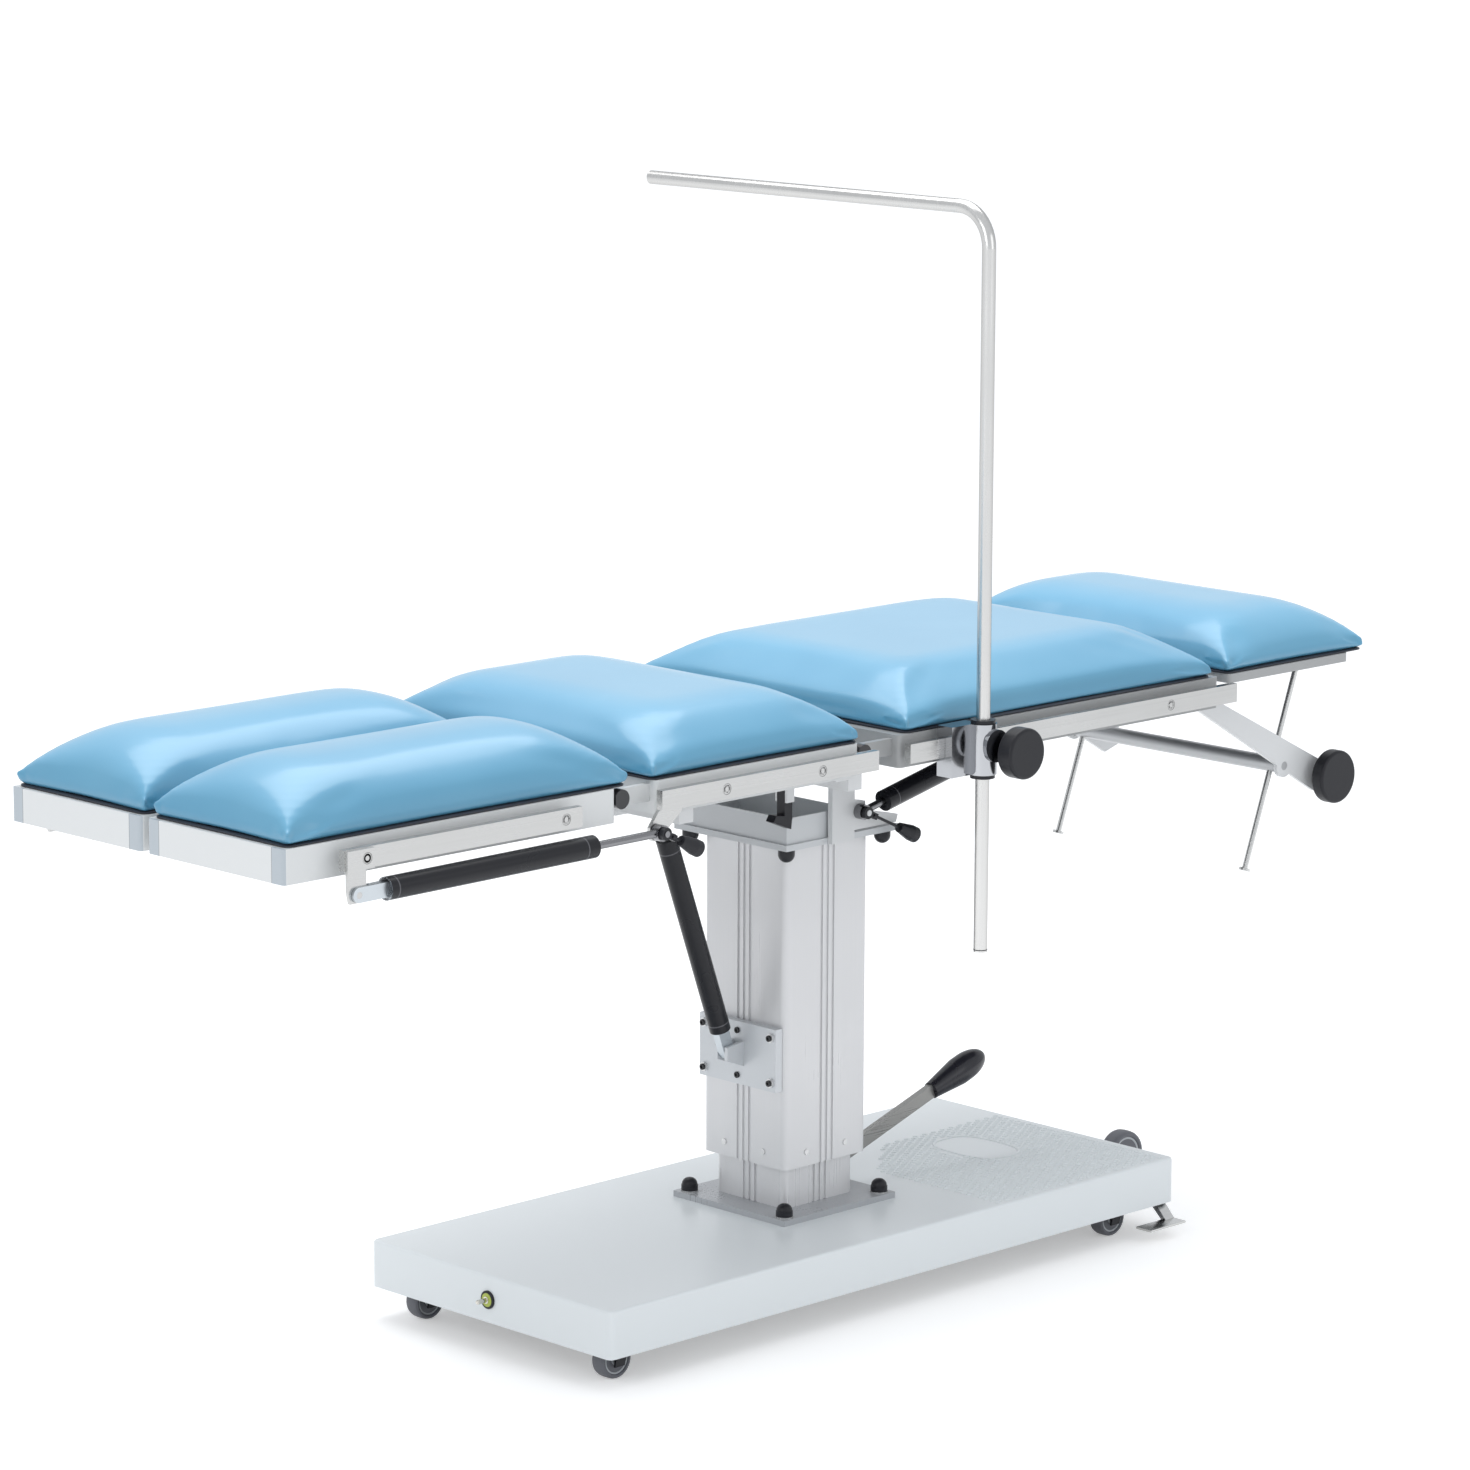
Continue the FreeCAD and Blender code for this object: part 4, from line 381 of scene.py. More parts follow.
turned("bonding_pin_stud", pin_root, (-1, 0, 0),
       [(0.0, 0.0), (0.0, 0.0046), (0.0045, 0.0046), (0.0048, 0.0030), (0.0185, 0.0030), (0.0198, 0.0018),
        (0.0198, 0.0)], "base", pin_metal)


# Foot pump. A flat bar of ground steel on two cheeks, with an egg-shaped black moulded grip over its end.

steel_x = brushed_metal("Brushed stainless", (0.50, 0.50, 0.49), (0.74, 0.74, 0.73), 0.24, "x")
pump_bar = brushed_metal("Pump bar", (0.24, 0.235, 0.225), (0.42, 0.415, 0.40), 0.36, "x", metallic=0.6)
dress(["pump_lever"], pump_bar, 0.0012)
rubber = finish_of("Black rubber", (0.008, 0.008, 0.013), (0.018, 0.018, 0.026), 0.30, strength=0.4,
                   bump=0.01)
pivot = Vector(joint_of["pump_stroke"]["pos_m"])
grip_thick = 0.019
thick_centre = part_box("pump_grip")[1] - Vector((grip_thick, grip_thick, grip_thick))
along_lever = (thick_centre - pivot).normalized()
grip_long, egg_steps = 0.107, 32
neck_share, neck_taper, widest_at = 0.62, 0.75, 0.64
egg_start = thick_centre + along_lever * (grip_thick - grip_long)
egg = [(0.0, 0.0)]
for step in range(egg_steps):
    share = math.sin(math.pi / 2 * step / egg_steps)
    taper = min(neck_share + neck_taper * share, 1)
    rounding = (1 - (max(share - widest_at, 0) / (1 - widest_at)) ** 2) ** 0.5
    egg.append((grip_long * share, grip_thick * taper * rounding))
egg.append((grip_long, 0.0))
turned("pump_grip_egg", egg_start, along_lever, egg, "pump", rubber, 48,
       hidden=["pump_grip"])


# Brake pedal. A bent stainless strip at the head end.

dress(["brake_pedal"], steel_x, 0.0006)


# Wheels. Grey moulded hubs with dark soft tyres in black swivel forks, and one wider transport wheel.

hub_grey = finish_of("Hub grey", (0.42, 0.45, 0.47), (0.52, 0.55, 0.57), 0.38, strength=0.3)
tyre = finish_of("Tyre", (0.10, 0.105, 0.12), (0.16, 0.165, 0.185), 0.50, strength=0.5, bump=0.02)


# Sections of tyre and hub, as shares of the wheel's width and radius.
tyre_section = [(0.12, 0.74), (0.02, 0.80), (0.0, 0.88), (0.06, 0.955), (0.18, 0.99), (0.34, 1.0),
                (0.66, 1.0), (0.82, 0.99), (0.94, 0.955), (1.0, 0.88), (0.98, 0.80), (0.88, 0.74)]
hub_section = [(0.30, 0.0), (0.30, 0.10), (0.10, 0.16), (0.10, 0.30), (0.26, 0.36), (0.26, 0.62),
               (0.10, 0.68), (0.10, 0.76), (0.90, 0.76), (0.90, 0.68), (0.74, 0.62), (0.74, 0.36),
               (0.90, 0.30), (0.90, 0.16), (0.70, 0.10), (0.70, 0.0)]
wheel_steps = 56


def wheel(name, body):
    """A tyre and a dished hub turned about the wheel's own axle, with a flat axle cap on both sides."""
    low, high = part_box(name)
    centre, radius, wide = (low + high) / 2, (high.z - low.z) / 2, high.y - low.y
    start = (centre.x, low.y, centre.z)
    for part, section, finish, hidden in (("tyre", tyre_section, tyre, [name]),
                                          ("hub", hub_section, hub_grey, None)):
        turned(name + "_" + part, start, (0, 1, 0),
               [(wide * across, radius * out) for across, out in section], body, finish, wheel_steps,
               hidden=hidden)


for corner in ("foot_near", "foot_far", "head_near", "head_far"):
    wheel("caster_%s_wheel" % corner, corner + "_wheel")
    dress(["caster_%s_fork" % corner], black_moulding, 0.0008)
wheel("transport_wheel", "transport")


# Telescopic column. The outer extrusion in satin aluminium with three grooves down each face, its cover plate
# screws, the anchor plate of the tilt spring, and the painted top plate and tray.

dress(["column_moving_tube"], extruded("Satin extrusion"), 0.0006)
top_paint = finish_of("Pale grey paint", (0.58, 0.60, 0.615), (0.65, 0.67, 0.685), 0.34, bump=0.004, coat=0.2)
dress(["column_top_plate"], top_paint, 0.0008)
anodised = finish_of("Anodised plate", (0.60, 0.62, 0.64), (0.67, 0.69, 0.71), 0.36, metallic=0.25,
                     bump=0.004)
dress(["anchor_plate"], anodised, 0.0006)
screw_steel = brushed_metal("Bright screw", (0.62, 0.62, 0.62), (0.80, 0.80, 0.80), 0.3, "z", metallic=0.6)
dress(["column_screws"], screw_steel, 0.0003)
dress(["guide_pads", "column_top_caps"], black_moulding, 0.0006)

# Six black socket screws hold the anchor plate, four of them on bright washers.
# The same near-black finish also serves as the painted shade in the rail screws' key holes.
black_screw_and_socket_shade = finish_of("Black screw and socket shade", (0.008, 0.008, 0.010), (0.02, 0.02, 0.024), 0.4)
plate_low, plate_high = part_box("anchor_plate")
screw_in, screw_up, washer_thick, anchor_face, screw_seat = 0.009, 0.012, 0.0031, -0.088, 0.0004
anchor_screw = [(0.0, 0.0), (0.0, 0.0042), (0.0026, 0.0042), (0.0030, 0.0038), (0.0030, 0.0022),
                (0.0014, 0.0020), (0.0014, 0.0)]
for column in (-1, 0, 1):
    for row in (0, 1):
        y = column * (plate_high.y - screw_in)
        z = plate_high.z - screw_up if row else plate_low.z + screw_up
        rest_on = anchor_face - (washer_thick if column else 0)
        turned("anchor_screw_%d_%d" % (column + 1, row), (rest_on + screw_seat, y, z), (-1, 0, 0),
               anchor_screw, "column", black_screw_and_socket_shade, 24)


# Section frames. Folded and welded aluminium, powder coated off-white, with cast grey corner pieces let into
# the end faces.

# Corner castings: a mask that is 1 on the castings at the ends of a frame, and its fine joint line.
castings, cast_in, cast_out = start_group(
    "Corner Castings",
    [("Centre", "NodeSocketVector", (0, 0, 0)), ("Half Size", "NodeSocketVector", (0.25, 0.12, 0.02)),
     ("Width", "NodeSocketFloat", 0.022)],
    [("Casting", "NodeSocketFloat"), ("Joint", "NodeSocketFloat")])
place = add(castings, "ShaderNodeTexCoord")
from_centre = add(castings, "ShaderNodeVectorMath", operation="SUBTRACT")
spread = add(castings, "ShaderNodeVectorMath", operation="ABSOLUTE")
inset = add(castings, "ShaderNodeVectorMath", operation="SUBTRACT")
parts = add(castings, "ShaderNodeSeparateXYZ")
near_side = add(castings, "ShaderNodeMath", operation="LESS_THAN")
near_end = add(castings, "ShaderNodeMath", operation="LESS_THAN")
near_end.inputs[1].default_value = 0.0035
cast = add(castings, "ShaderNodeMath", operation="MULTIPLY")
line = add(castings, "ShaderNodeMath", operation="COMPARE")
line.inputs[2].default_value = 0.0005
joint = add(castings, "ShaderNodeMath", operation="MULTIPLY")
wire(castings, (place.outputs["Object"], from_centre.inputs[0]),
     (cast_in.outputs["Centre"], from_centre.inputs[1]), (from_centre.outputs[0], spread.inputs[0]),
     (cast_in.outputs["Half Size"], inset.inputs[0]), (spread.outputs[0], inset.inputs[1]),
     (inset.outputs[0], parts.inputs[0]), (parts.outputs["Y"], near_side.inputs[0]),
     (cast_in.outputs["Width"], near_side.inputs[1]), (parts.outputs["X"], near_end.inputs[0]),
     (near_side.outputs[0], cast.inputs[0]), (near_end.outputs[0], cast.inputs[1]),
     (cast.outputs[0], cast_out.inputs["Casting"]), (parts.outputs["Y"], line.inputs[0]),
     (cast_in.outputs["Width"], line.inputs[1]), (line.outputs[0], joint.inputs[0]),
     (near_end.outputs[0], joint.inputs[1]), (joint.outputs[0], cast_out.inputs["Joint"]))


# Hinge knuckles: a mask that is 1 within a knuckle's radius of a hinge axis across the table.
knuckles, knuckle_in, knuckle_out = start_group(
    "Hinge Knuckles", [("Axis", "NodeSocketVector", (0, 0, 0)), ("Radius", "NodeSocketFloat", 0.0124)],
    [("Knuckle", "NodeSocketFloat")])
place = add(knuckles, "ShaderNodeTexCoord")
from_axis = add(knuckles, "ShaderNodeVectorMath", operation="SUBTRACT")
flat = add(knuckles, "ShaderNodeVectorMath", operation="MULTIPLY")
flat.inputs[1].default_value = (1, 0, 1)
reach = add(knuckles, "ShaderNodeVectorMath", operation="LENGTH")
within = add(knuckles, "ShaderNodeMath", operation="LESS_THAN")
wire(knuckles, (place.outputs["Object"], from_axis.inputs[0]),
     (knuckle_in.outputs["Axis"], from_axis.inputs[1]), (from_axis.outputs[0], flat.inputs[0]),
     (flat.outputs[0], reach.inputs[0]), (reach.outputs["Value"], within.inputs[0]),
     (knuckle_in.outputs["Radius"], within.inputs[1]), (within.outputs[0], knuckle_out.inputs["Knuckle"]))


def frame_finish(name, hinge_axes=()):
    """Off-white powder coat with this frame's grey corner castings and black hinge knuckles."""
    low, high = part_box(name)
    made = finish_of(name.replace("_", " ").capitalize() + " coat", (0.70, 0.715, 0.715),
                     (0.77, 0.785, 0.785), 0.34, strength=0.15, bump=0.004, coat=0.2)
    tree = made.node_tree
    shader = tree.nodes["Principled BSDF"]
    corners = add(tree, "ShaderNodeGroup")
    corners.node_tree = castings
    corners.inputs["Centre"].default_value = (low + high) / 2
    corners.inputs["Half Size"].default_value = (high - low) / 2
    coat = shader.inputs["Base Color"].links[0].from_socket
    grey = add(tree, "ShaderNodeMix", data_type="RGBA")
    grey.inputs[7].default_value = (0.47, 0.52, 0.56, 1)
    dark = add(tree, "ShaderNodeMix", data_type="RGBA")
    dark.inputs[7].default_value = (0.30, 0.32, 0.34, 1)
    wire(tree, (corners.outputs["Casting"], grey.inputs[0]), (coat, grey.inputs[6]),
         (corners.outputs["Joint"], dark.inputs[0]), (grey.outputs[2], dark.inputs[6]))
    black = add(tree, "ShaderNodeMix", data_type="RGBA")
    black.inputs[7].default_value = (0.02, 0.02, 0.024, 1)
    wire(tree, (dark.outputs[2], black.inputs[6]), (black.outputs[2], shader.inputs["Base Color"]))
    for axis in hinge_axes:
        round_axis = add(tree, "ShaderNodeGroup")
        round_axis.node_tree = knuckles
        round_axis.inputs["Axis"].default_value = axis
        wire(tree, (round_axis.outputs["Knuckle"], black.inputs[0]))
    return made


leg_axis, back_axis = joint_of["leg_near_fold"]["pos_m"], joint_of["back_fold"]["pos_m"]
for name, hinge_axes in (("leg_near_frame", [leg_axis]), ("leg_far_frame", [leg_axis]),
                         ("seat_frame", [back_axis]), ("back_frame", []), ("head_frame", [])):
    dress([name], frame_finish(name, hinge_axes), 0.0010)
white_coat = finish_of("White coat", (0.68, 0.69, 0.695), (0.75, 0.76, 0.765), 0.32, strength=0.15,
                       bump=0.004, coat=0.2)
dress(["seat_brackets", "head_arms"], white_coat, 0.0010)


# Side rails. Solid stainless bars on spacers, brushed along their length and held by sunk socket screws.

rail_steel = brushed_metal("Rail steel", (0.42, 0.42, 0.415), (0.66, 0.66, 0.65), 0.22, "x", amount=0.5)
screw_gap_shade = finish_of("Screw gap shade", (0.10, 0.10, 0.105), (0.16, 0.16, 0.165), 0.5)
rail_face, plate_face, rail_middle, screw_depth = 0.2776, 0.2816, 0.747, 0.0006
near, far = -1, 1
leg_spots = (-0.960, -0.647)
# The screw's head, the key hole in it filled with a dark hexagon of painted shade, and the seam around it as
# a dark ring of painted shade: name, profile, finish and sides.
screw_parts = (
    ("rail_screw_", [(-0.0018, 0.0), (-0.0018, 0.0060), (0.0, 0.0060), (0.0004, 0.0054), (0.0004, 0.0030),
                     (-0.0010, 0.0028), (-0.0010, 0.0)], washer_steel, 32),
    ("rail_socket_", [(-0.0009, 0.0), (-0.0009, 0.0027), (0.0001, 0.0027), (0.0001, 0.0)], black_screw_and_socket_shade, 6),
    ("rail_gap_shade_", [(-0.0012, 0.0060), (-0.0012, 0.0068), (-0.0002, 0.0068), (-0.0002, 0.0060)], screw_gap_shade,
     32))
for body, rail, sides, spots in (("leg_near", "leg_near_rail", (near,), leg_spots),
                                 ("leg_far", "leg_far_rail", (far,), leg_spots),
                                 ("seat", "seat_rails", (near, far), (-0.381, -0.215)),
                                 ("back", "back_rails", (near, far), (0.076, 0.440))):
    dress([rail], rail_steel, 0.0009)
    for side in sides:
        for number, along in enumerate(spots):
            on_plate = body.startswith("leg") and number == 0
            face = (plate_face if on_plate else rail_face) - screw_depth
            tag = "%s_%s_%d" % (body, "near" if side == near else "far", number)
            for part, profile, finish, steps in screw_parts:
                turned(part + tag, (along, side * face, rail_middle), (0, side, 0), profile, body, finish,
                       steps)


# Cushions. Moulded foam blocks under a stretched cover of glossy sky-blue vinyl, turned down over a black
# board. The crown is broad and flat, the border falls away to the edges, and the corners are drawn to soft
# points.

vinyl = bpy.data.materials.new("Sky-blue vinyl")
vinyl.use_nodes = True
tree = vinyl.node_tree
shader = tree.nodes["Principled BSDF"]
place = add(tree, "ShaderNodeTexCoord")
# Painted shade: the blue is multiplied dimmer where the cover slopes, by how far its normal tips from
# straight up, so the sides fall deeper in tone than the crown.
normal = add(tree, "ShaderNodeSeparateXYZ")
level = add(tree, "ShaderNodeMapRange", From_Min=0.55, From_Max=0.97)
painted_slope_shade = add(tree, "ShaderNodeMix", data_type="RGBA", blend_type="MULTIPLY")
painted_slope_shade.inputs[7].default_value = (0.60, 0.74, 0.76, 1)
slope_shade_share = add(tree, "ShaderNodeMath", operation="SUBTRACT")
slope_shade_share.inputs[0].default_value = 1.0
grain = add(tree, "ShaderNodeTexVoronoi", Scale=900.0)
puckers = add(tree, "ShaderNodeTexNoise", Scale=14.0, Detail=4.0)
cloud = add(tree, "ShaderNodeTexNoise", Scale=4.0, Detail=3.0)
tones = add(tree, "ShaderNodeValToRGB")
tones.color_ramp.elements[0].position = 0.3
tones.color_ramp.elements[0].color = (0.155, 0.425, 0.640, 1)
tones.color_ramp.elements[1].position = 0.7
tones.color_ramp.elements[1].color = (0.190, 0.475, 0.690, 1)
wide_bump = add(tree, "ShaderNodeBump", Strength=0.10, Distance=0.0020)
fine_bump = add(tree, "ShaderNodeBump", Strength=0.10, Distance=0.0003)
wire(tree, (place.outputs["Object"], grain.inputs["Vector"]),
     (place.outputs["Object"], puckers.inputs["Vector"]), (place.outputs["Object"], cloud.inputs["Vector"]),
     (cloud.outputs["Fac"], tones.inputs["Fac"]), (place.outputs["Normal"], normal.inputs[0]),
     (normal.outputs["Z"], level.inputs["Value"]), (level.outputs["Result"], slope_shade_share.inputs[1]),
     (slope_shade_share.outputs[0], painted_slope_shade.inputs[0]), (tones.outputs["Color"], painted_slope_shade.inputs[6]),
     (painted_slope_shade.outputs[2], shader.inputs["Base Color"]), (puckers.outputs["Fac"], wide_bump.inputs["Height"]),
     (grain.outputs["Distance"], fine_bump.inputs["Height"]),
     (wide_bump.outputs["Normal"], fine_bump.inputs["Normal"]),
     (fine_bump.outputs["Normal"], shader.inputs["Normal"]))
shader.inputs["Roughness"].default_value = 0.30
shader.inputs["Coat Weight"].default_value = 0.45
shader.inputs["Coat Roughness"].default_value = 0.14
board_black = finish_of("Board edge", (0.012, 0.013, 0.02), (0.03, 0.032, 0.045), 0.5)


def evaluated_copy(piece):
    """The piece's mesh with its modifiers worked in."""
    return bpy.data.meshes.new_from_object(piece.evaluated_get(bpy.context.evaluated_depsgraph_get()))


# The simulated cover: the step of its even mesh, how far a point may move, the strip held on the board, and
# the foam's push over the frames of the run.
cover_step, furthest, held_strip, foam_pressure, last_frame = 0.006, 0.006, 0.006, 4.0, 20


def inflate(piece, base):
    """Blows the cover up a little as the foam does, held where it is turned down on the board."""
    remesh = piece.modifiers.new("Even cover", "REMESH")
    remesh.mode = "VOXEL"
    remesh.voxel_size = cover_step
    remesh.use_smooth_shade = True
    even = evaluated_copy(piece)
    piece.modifiers.clear()
    material = piece.data.materials[0]
    piece.data = even
    if not even.materials:
        even.materials.append(material)
    held = piece.vertex_groups.new(name="Held")
    held.add([v.index for v in even.vertices if v.co.z < base + held_strip], 1.0, "REPLACE")
    start = [v.co.copy() for v in even.vertices]
    cloth = piece.modifiers.new("Cover", "CLOTH")
    cloth.settings.quality = 4
    cloth.settings.use_pressure = True
    cloth.settings.uniform_pressure_force = foam_pressure
    cloth.settings.effector_weights.gravity = 0.0
    cloth.settings.vertex_group_mass = "Held"
    cloth.point_cache.frame_start = 1
    cloth.point_cache.frame_end = last_frame
    for moment in range(1, last_frame + 1):
        scene.frame_set(moment)
    blown = evaluated_copy(piece)
    piece.modifiers.clear()
    for vertex, before, after in zip(even.vertices, start, blown.vertices):
        move = after.co - before
        if move.length > furthest:
            move.length = furthest
        vertex.co = before + move
    bpy.data.meshes.remove(blown)
    scene.frame_set(1)


# The cover stands in by the margin, its edges are drawn in between the corners by the pull, and its top
# climbs from the side's height over the slope's width. The corners dip, and the sides bulge and tuck in at
# the board.
side_height, slope, pull, margin, mesh_step = 0.030, 0.115, 0.006, 0.004, 0.010
dome_power, most_of_half, corner_dip, dip_reach = 2.3, 0.95, 0.008, 0.040
side_bulge, bulge_low, tuck = 0.0045, 1.05, 0.003
board, board_corner, soft_from = 0.0020, 0.012, 0.55
smooth_rounds, quick_rounds = 26, 8


def rise(inward, run):
    """The share of the crown's height that the foam has reached this far in from an edge."""
    return 1 - (1 - min(max(inward, 0) / run, 1)) ** dome_power


def cushion(name, body, lift):
    """A pillow over the solid's plan: a broad dome, low bulging sides and pointed, dipped corners."""
    low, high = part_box(name)
    centre, half = (low + high) / 2, (high - low) / 2
    base, crown = low.z + board, high.z - margin + lift
    half_x, half_y = half.x - margin, half.y - margin
    count = [max(8, round(2 * half_x / mesh_step)), max(8, round(2 * half_y / mesh_step)), 5]
    mesh = bmesh.new()
    made = {}

    def corner(i, j, k):
        if (i, j, k) not in made:
            a, b, c = 2 * i / count[0] - 1, 2 * j / count[1] - 1, k / count[2]
            x = a * (half_x - pull * (1 - b * b))
            y = b * (half_y - pull * (1 - a * a))
            from_x = half_x - pull * (1 - b * b) - abs(x)
            from_y = half_y - pull * (1 - a * a) - abs(y)
            climb = (rise(from_x, min(slope, half_x * most_of_half))
                     * rise(from_y, min(slope, half_y * most_of_half)))
            drawn = corner_dip * math.exp(-(from_x + from_y) / dip_reach)
            height = side_height + (crown - base - side_height) * climb - drawn
            bulge = side_bulge * math.sin(math.pi * min(c * bulge_low, 1)) - tuck * (1 - c)
            if i in (0, count[0]):
                x += math.copysign(bulge, a)
            if j in (0, count[1]):
                y += math.copysign(bulge, b)
            made[i, j, k] = mesh.verts.new((centre.x + x, centre.y + y, base + c * height))
        return made[i, j, k]

    nx, ny, nz = count
    for i in range(nx):
        for j in range(ny):
            for k in (0, nz):
                mesh.faces.new((corner(i, j, k), corner(i + 1, j, k), corner(i + 1, j + 1, k),
                                corner(i, j + 1, k)))
    for k in range(nz):
        for i in range(nx):
            for j in (0, ny):
                mesh.faces.new((corner(i, j, k), corner(i + 1, j, k), corner(i + 1, j, k + 1),
                                corner(i, j, k + 1)))
        for j in range(ny):
            for i in (0, nx):
                mesh.faces.new((corner(i, j, k), corner(i, j + 1, k), corner(i, j + 1, k + 1),
                                corner(i, j, k + 1)))
    piece = solid(name + "_cover", mesh, body, vinyl)
    inflate(piece, base)
    for face in piece.data.polygons:
        face.use_smooth = True
    soft_part = piece.vertex_groups.new(name="Soft part")
    soft_part.add([v.index for v in piece.data.vertices if v.co.z > base + side_height * soft_from], 1.0,
                  "REPLACE")
    smooth = piece.modifiers.new("Soft foam", "SMOOTH")
    smooth.factor = 0.5
    smooth.iterations = smooth_rounds
    smooth.vertex_group = soft_part.name
    finer = piece.modifiers.new("Finer cover", "SUBSURF")
    finer.levels = finer.render_levels = 1
    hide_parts(name)

    slab = bmesh.new()
    loops = []
    for inward, height in ((0.0055, -0.0001), (0.0045, 0.0003), (0.0045, board), (0.009, board + 0.001)):
        loop = []
        for sx, sy, first in ((1, 1, 0), (-1, 1, 90), (-1, -1, 180), (1, -1, 270)):
            turn_x = centre.x + sx * (half.x - inward - board_corner)
            turn_y = centre.y + sy * (half.y - inward - board_corner)
            for step in range(7):
                t = math.radians(first + 15 * step)
                loop.append(slab.verts.new((turn_x + board_corner * math.cos(t),
                                            turn_y + board_corner * math.sin(t), low.z + height)))
        loops.append(loop)
    for lower, upper in zip(loops, loops[1:]):
        for k in range(len(lower)):
            j = (k + 1) % len(lower)
            slab.faces.new((lower[k], lower[j], upper[j], upper[k]))
    slab.faces.new(loops[0][::-1])
    slab.faces.new(loops[-1])
    solid(name + "_board", slab, body, board_black, smooth=False)


# The narrow leg cushions are filled fuller, so their crowns are lifted more before they are smoothed.
full, plain = 0.009, 0.001
for body, lift in (("leg_near", full), ("leg_far", full), ("seat", plain), ("back", plain), ("head", plain)):
    cushion(body + "_cushion", body, lift)


# Gas springs. Satin black cylinders with two rolled rings and a zinc fork, ground rods, and release levers
# with black conical knobs on a bent stalk.

# Spring lengths: masks by the distance along a spring from its fork pivot, for the zinc fork and the rolled
# rings.
lengths, length_in, length_out = start_group(
    "Spring Lengths",
    [("Pivot", "NodeSocketVector", (0, 0, 0)), ("Direction", "NodeSocketVector", (1, 0, 0)),
     ("Fork", "NodeSocketFloat", 0.03), ("First Ring", "NodeSocketFloat", 0.05),
     ("Last Ring", "NodeSocketFloat", 0.3)],
    [("Fork", "NodeSocketFloat"), ("Rings", "NodeSocketFloat")])
place = add(lengths, "ShaderNodeTexCoord")
from_pivot = add(lengths, "ShaderNodeVectorMath", operation="SUBTRACT")
distance = add(lengths, "ShaderNodeVectorMath", operation="DOT_PRODUCT")
in_fork = add(lengths, "ShaderNodeMath", operation="LESS_THAN")
first_ring = add(lengths, "ShaderNodeMath", operation="COMPARE")
last_ring = add(lengths, "ShaderNodeMath", operation="COMPARE")
first_ring.inputs[2].default_value = last_ring.inputs[2].default_value = 0.0009
rings = add(lengths, "ShaderNodeMath", operation="MAXIMUM")
wire(lengths, (place.outputs["Object"], from_pivot.inputs[0]),
     (length_in.outputs["Pivot"], from_pivot.inputs[1]), (from_pivot.outputs[0], distance.inputs[0]),
     (length_in.outputs["Direction"], distance.inputs[1]), (distance.outputs["Value"], in_fork.inputs[0]),
     (length_in.outputs["Fork"], in_fork.inputs[1]), (distance.outputs["Value"], first_ring.inputs[0]),
     (length_in.outputs["First Ring"], first_ring.inputs[1]),
     (distance.outputs["Value"], last_ring.inputs[0]),
     (length_in.outputs["Last Ring"], last_ring.inputs[1]), (first_ring.outputs[0], rings.inputs[0]),
     (last_ring.outputs[0], rings.inputs[1]), (in_fork.outputs[0], length_out.inputs["Fork"]),
     (rings.outputs[0], length_out.inputs["Rings"]))


fork_overlap, first_ring_at, last_ring_at = 0.001, 0.010, 0.018


def spring_finish(name, pivot, eye, fork, tube):
    """Satin black on the cylinder with two rolled rings, and bright zinc on the fork."""
    made = finish_of(name + " cylinder black", (0.006, 0.006, 0.009), (0.016, 0.017, 0.021), 0.28,
                     strength=0.3, bump=0.004)
    tree = made.node_tree
    shader = tree.nodes["Principled BSDF"]
    shader.inputs["Specular IOR Level"].default_value = 0.30
    along = add(tree, "ShaderNodeGroup")
    along.node_tree = lengths
    along.inputs["Pivot"].default_value = pivot
    along.inputs["Direction"].default_value = (Vector(eye) - Vector(pivot)).normalized()
    along.inputs["Fork"].default_value = fork - fork_overlap
    along.inputs["First Ring"].default_value = fork + first_ring_at
    along.inputs["Last Ring"].default_value = fork + tube - last_ring_at
    black = shader.inputs["Base Color"].links[0].from_socket
    ringed = add(tree, "ShaderNodeMix", data_type="RGBA")
    ringed.inputs[7].default_value = (0.10, 0.10, 0.11, 1)
    zinc = add(tree, "ShaderNodeMix", data_type="RGBA")
    zinc.inputs[7].default_value = (0.56, 0.60, 0.63, 1)
    wire(tree, (black, ringed.inputs[6]), (along.outputs["Rings"], ringed.inputs[0]),
         (ringed.outputs[2], zinc.inputs[6]), (along.outputs["Fork"], zinc.inputs[0]),
         (zinc.outputs[2], shader.inputs["Base Color"]), (along.outputs["Fork"], shader.inputs["Metallic"]))
    return made


# The back spring hangs from its fork pivot on the back frame; the other three turn about their fork's own
# joint.
rod_steel = brushed_metal("Ground rod", (0.16, 0.16, 0.17), (0.32, 0.32, 0.33), 0.2, "x", amount=0.3)
back_fork_x, back_fork_z = 0.377, 0.719
for name, fork, tube in (("leg_near", 0.045, 0.325), ("leg_far", 0.045, 0.325), ("tilt", 0.035, 0.284),
                         ("back", 0.026, 0.300)):
    if name == "back":
        pivot = (back_fork_x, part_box("back_rod")[0].y, back_fork_z)
        eye = joint_of["back_spring_turn"]["pos_m"]
    else:
        pivot = joint_of[name + "_spring_turn"]["pos_m"]
        eye = Vector(pivot) + Vector(joint_of[name + "_spring_slide"]["axis"])
    dress([name + "_cylinder"], spring_finish(name.replace("_", " ").capitalize(), pivot, eye, fork, tube),
          0.0006)
    dress([name + "_rod"], rod_steel, 0.0005)
    dress([name + "_lever"], black_moulding, 0.0008)


# Head section carriage. Stainless guide rods with small feet, a grey cross tube, and a black clamping knob.

dress(["head_rods"], steel_x, 0.0004)
tube_grey = finish_of("Grey anodised tube", (0.40, 0.41, 0.42), (0.52, 0.53, 0.54), 0.3, metallic=0.6)
dress(["head_tube"], tube_grey, 0.0006)
dress(["head_knob"], black_moulding, 0.0020)


# Screen holder. A chromed rail clamp with a black collar and knob, and the bent stainless screen tube.

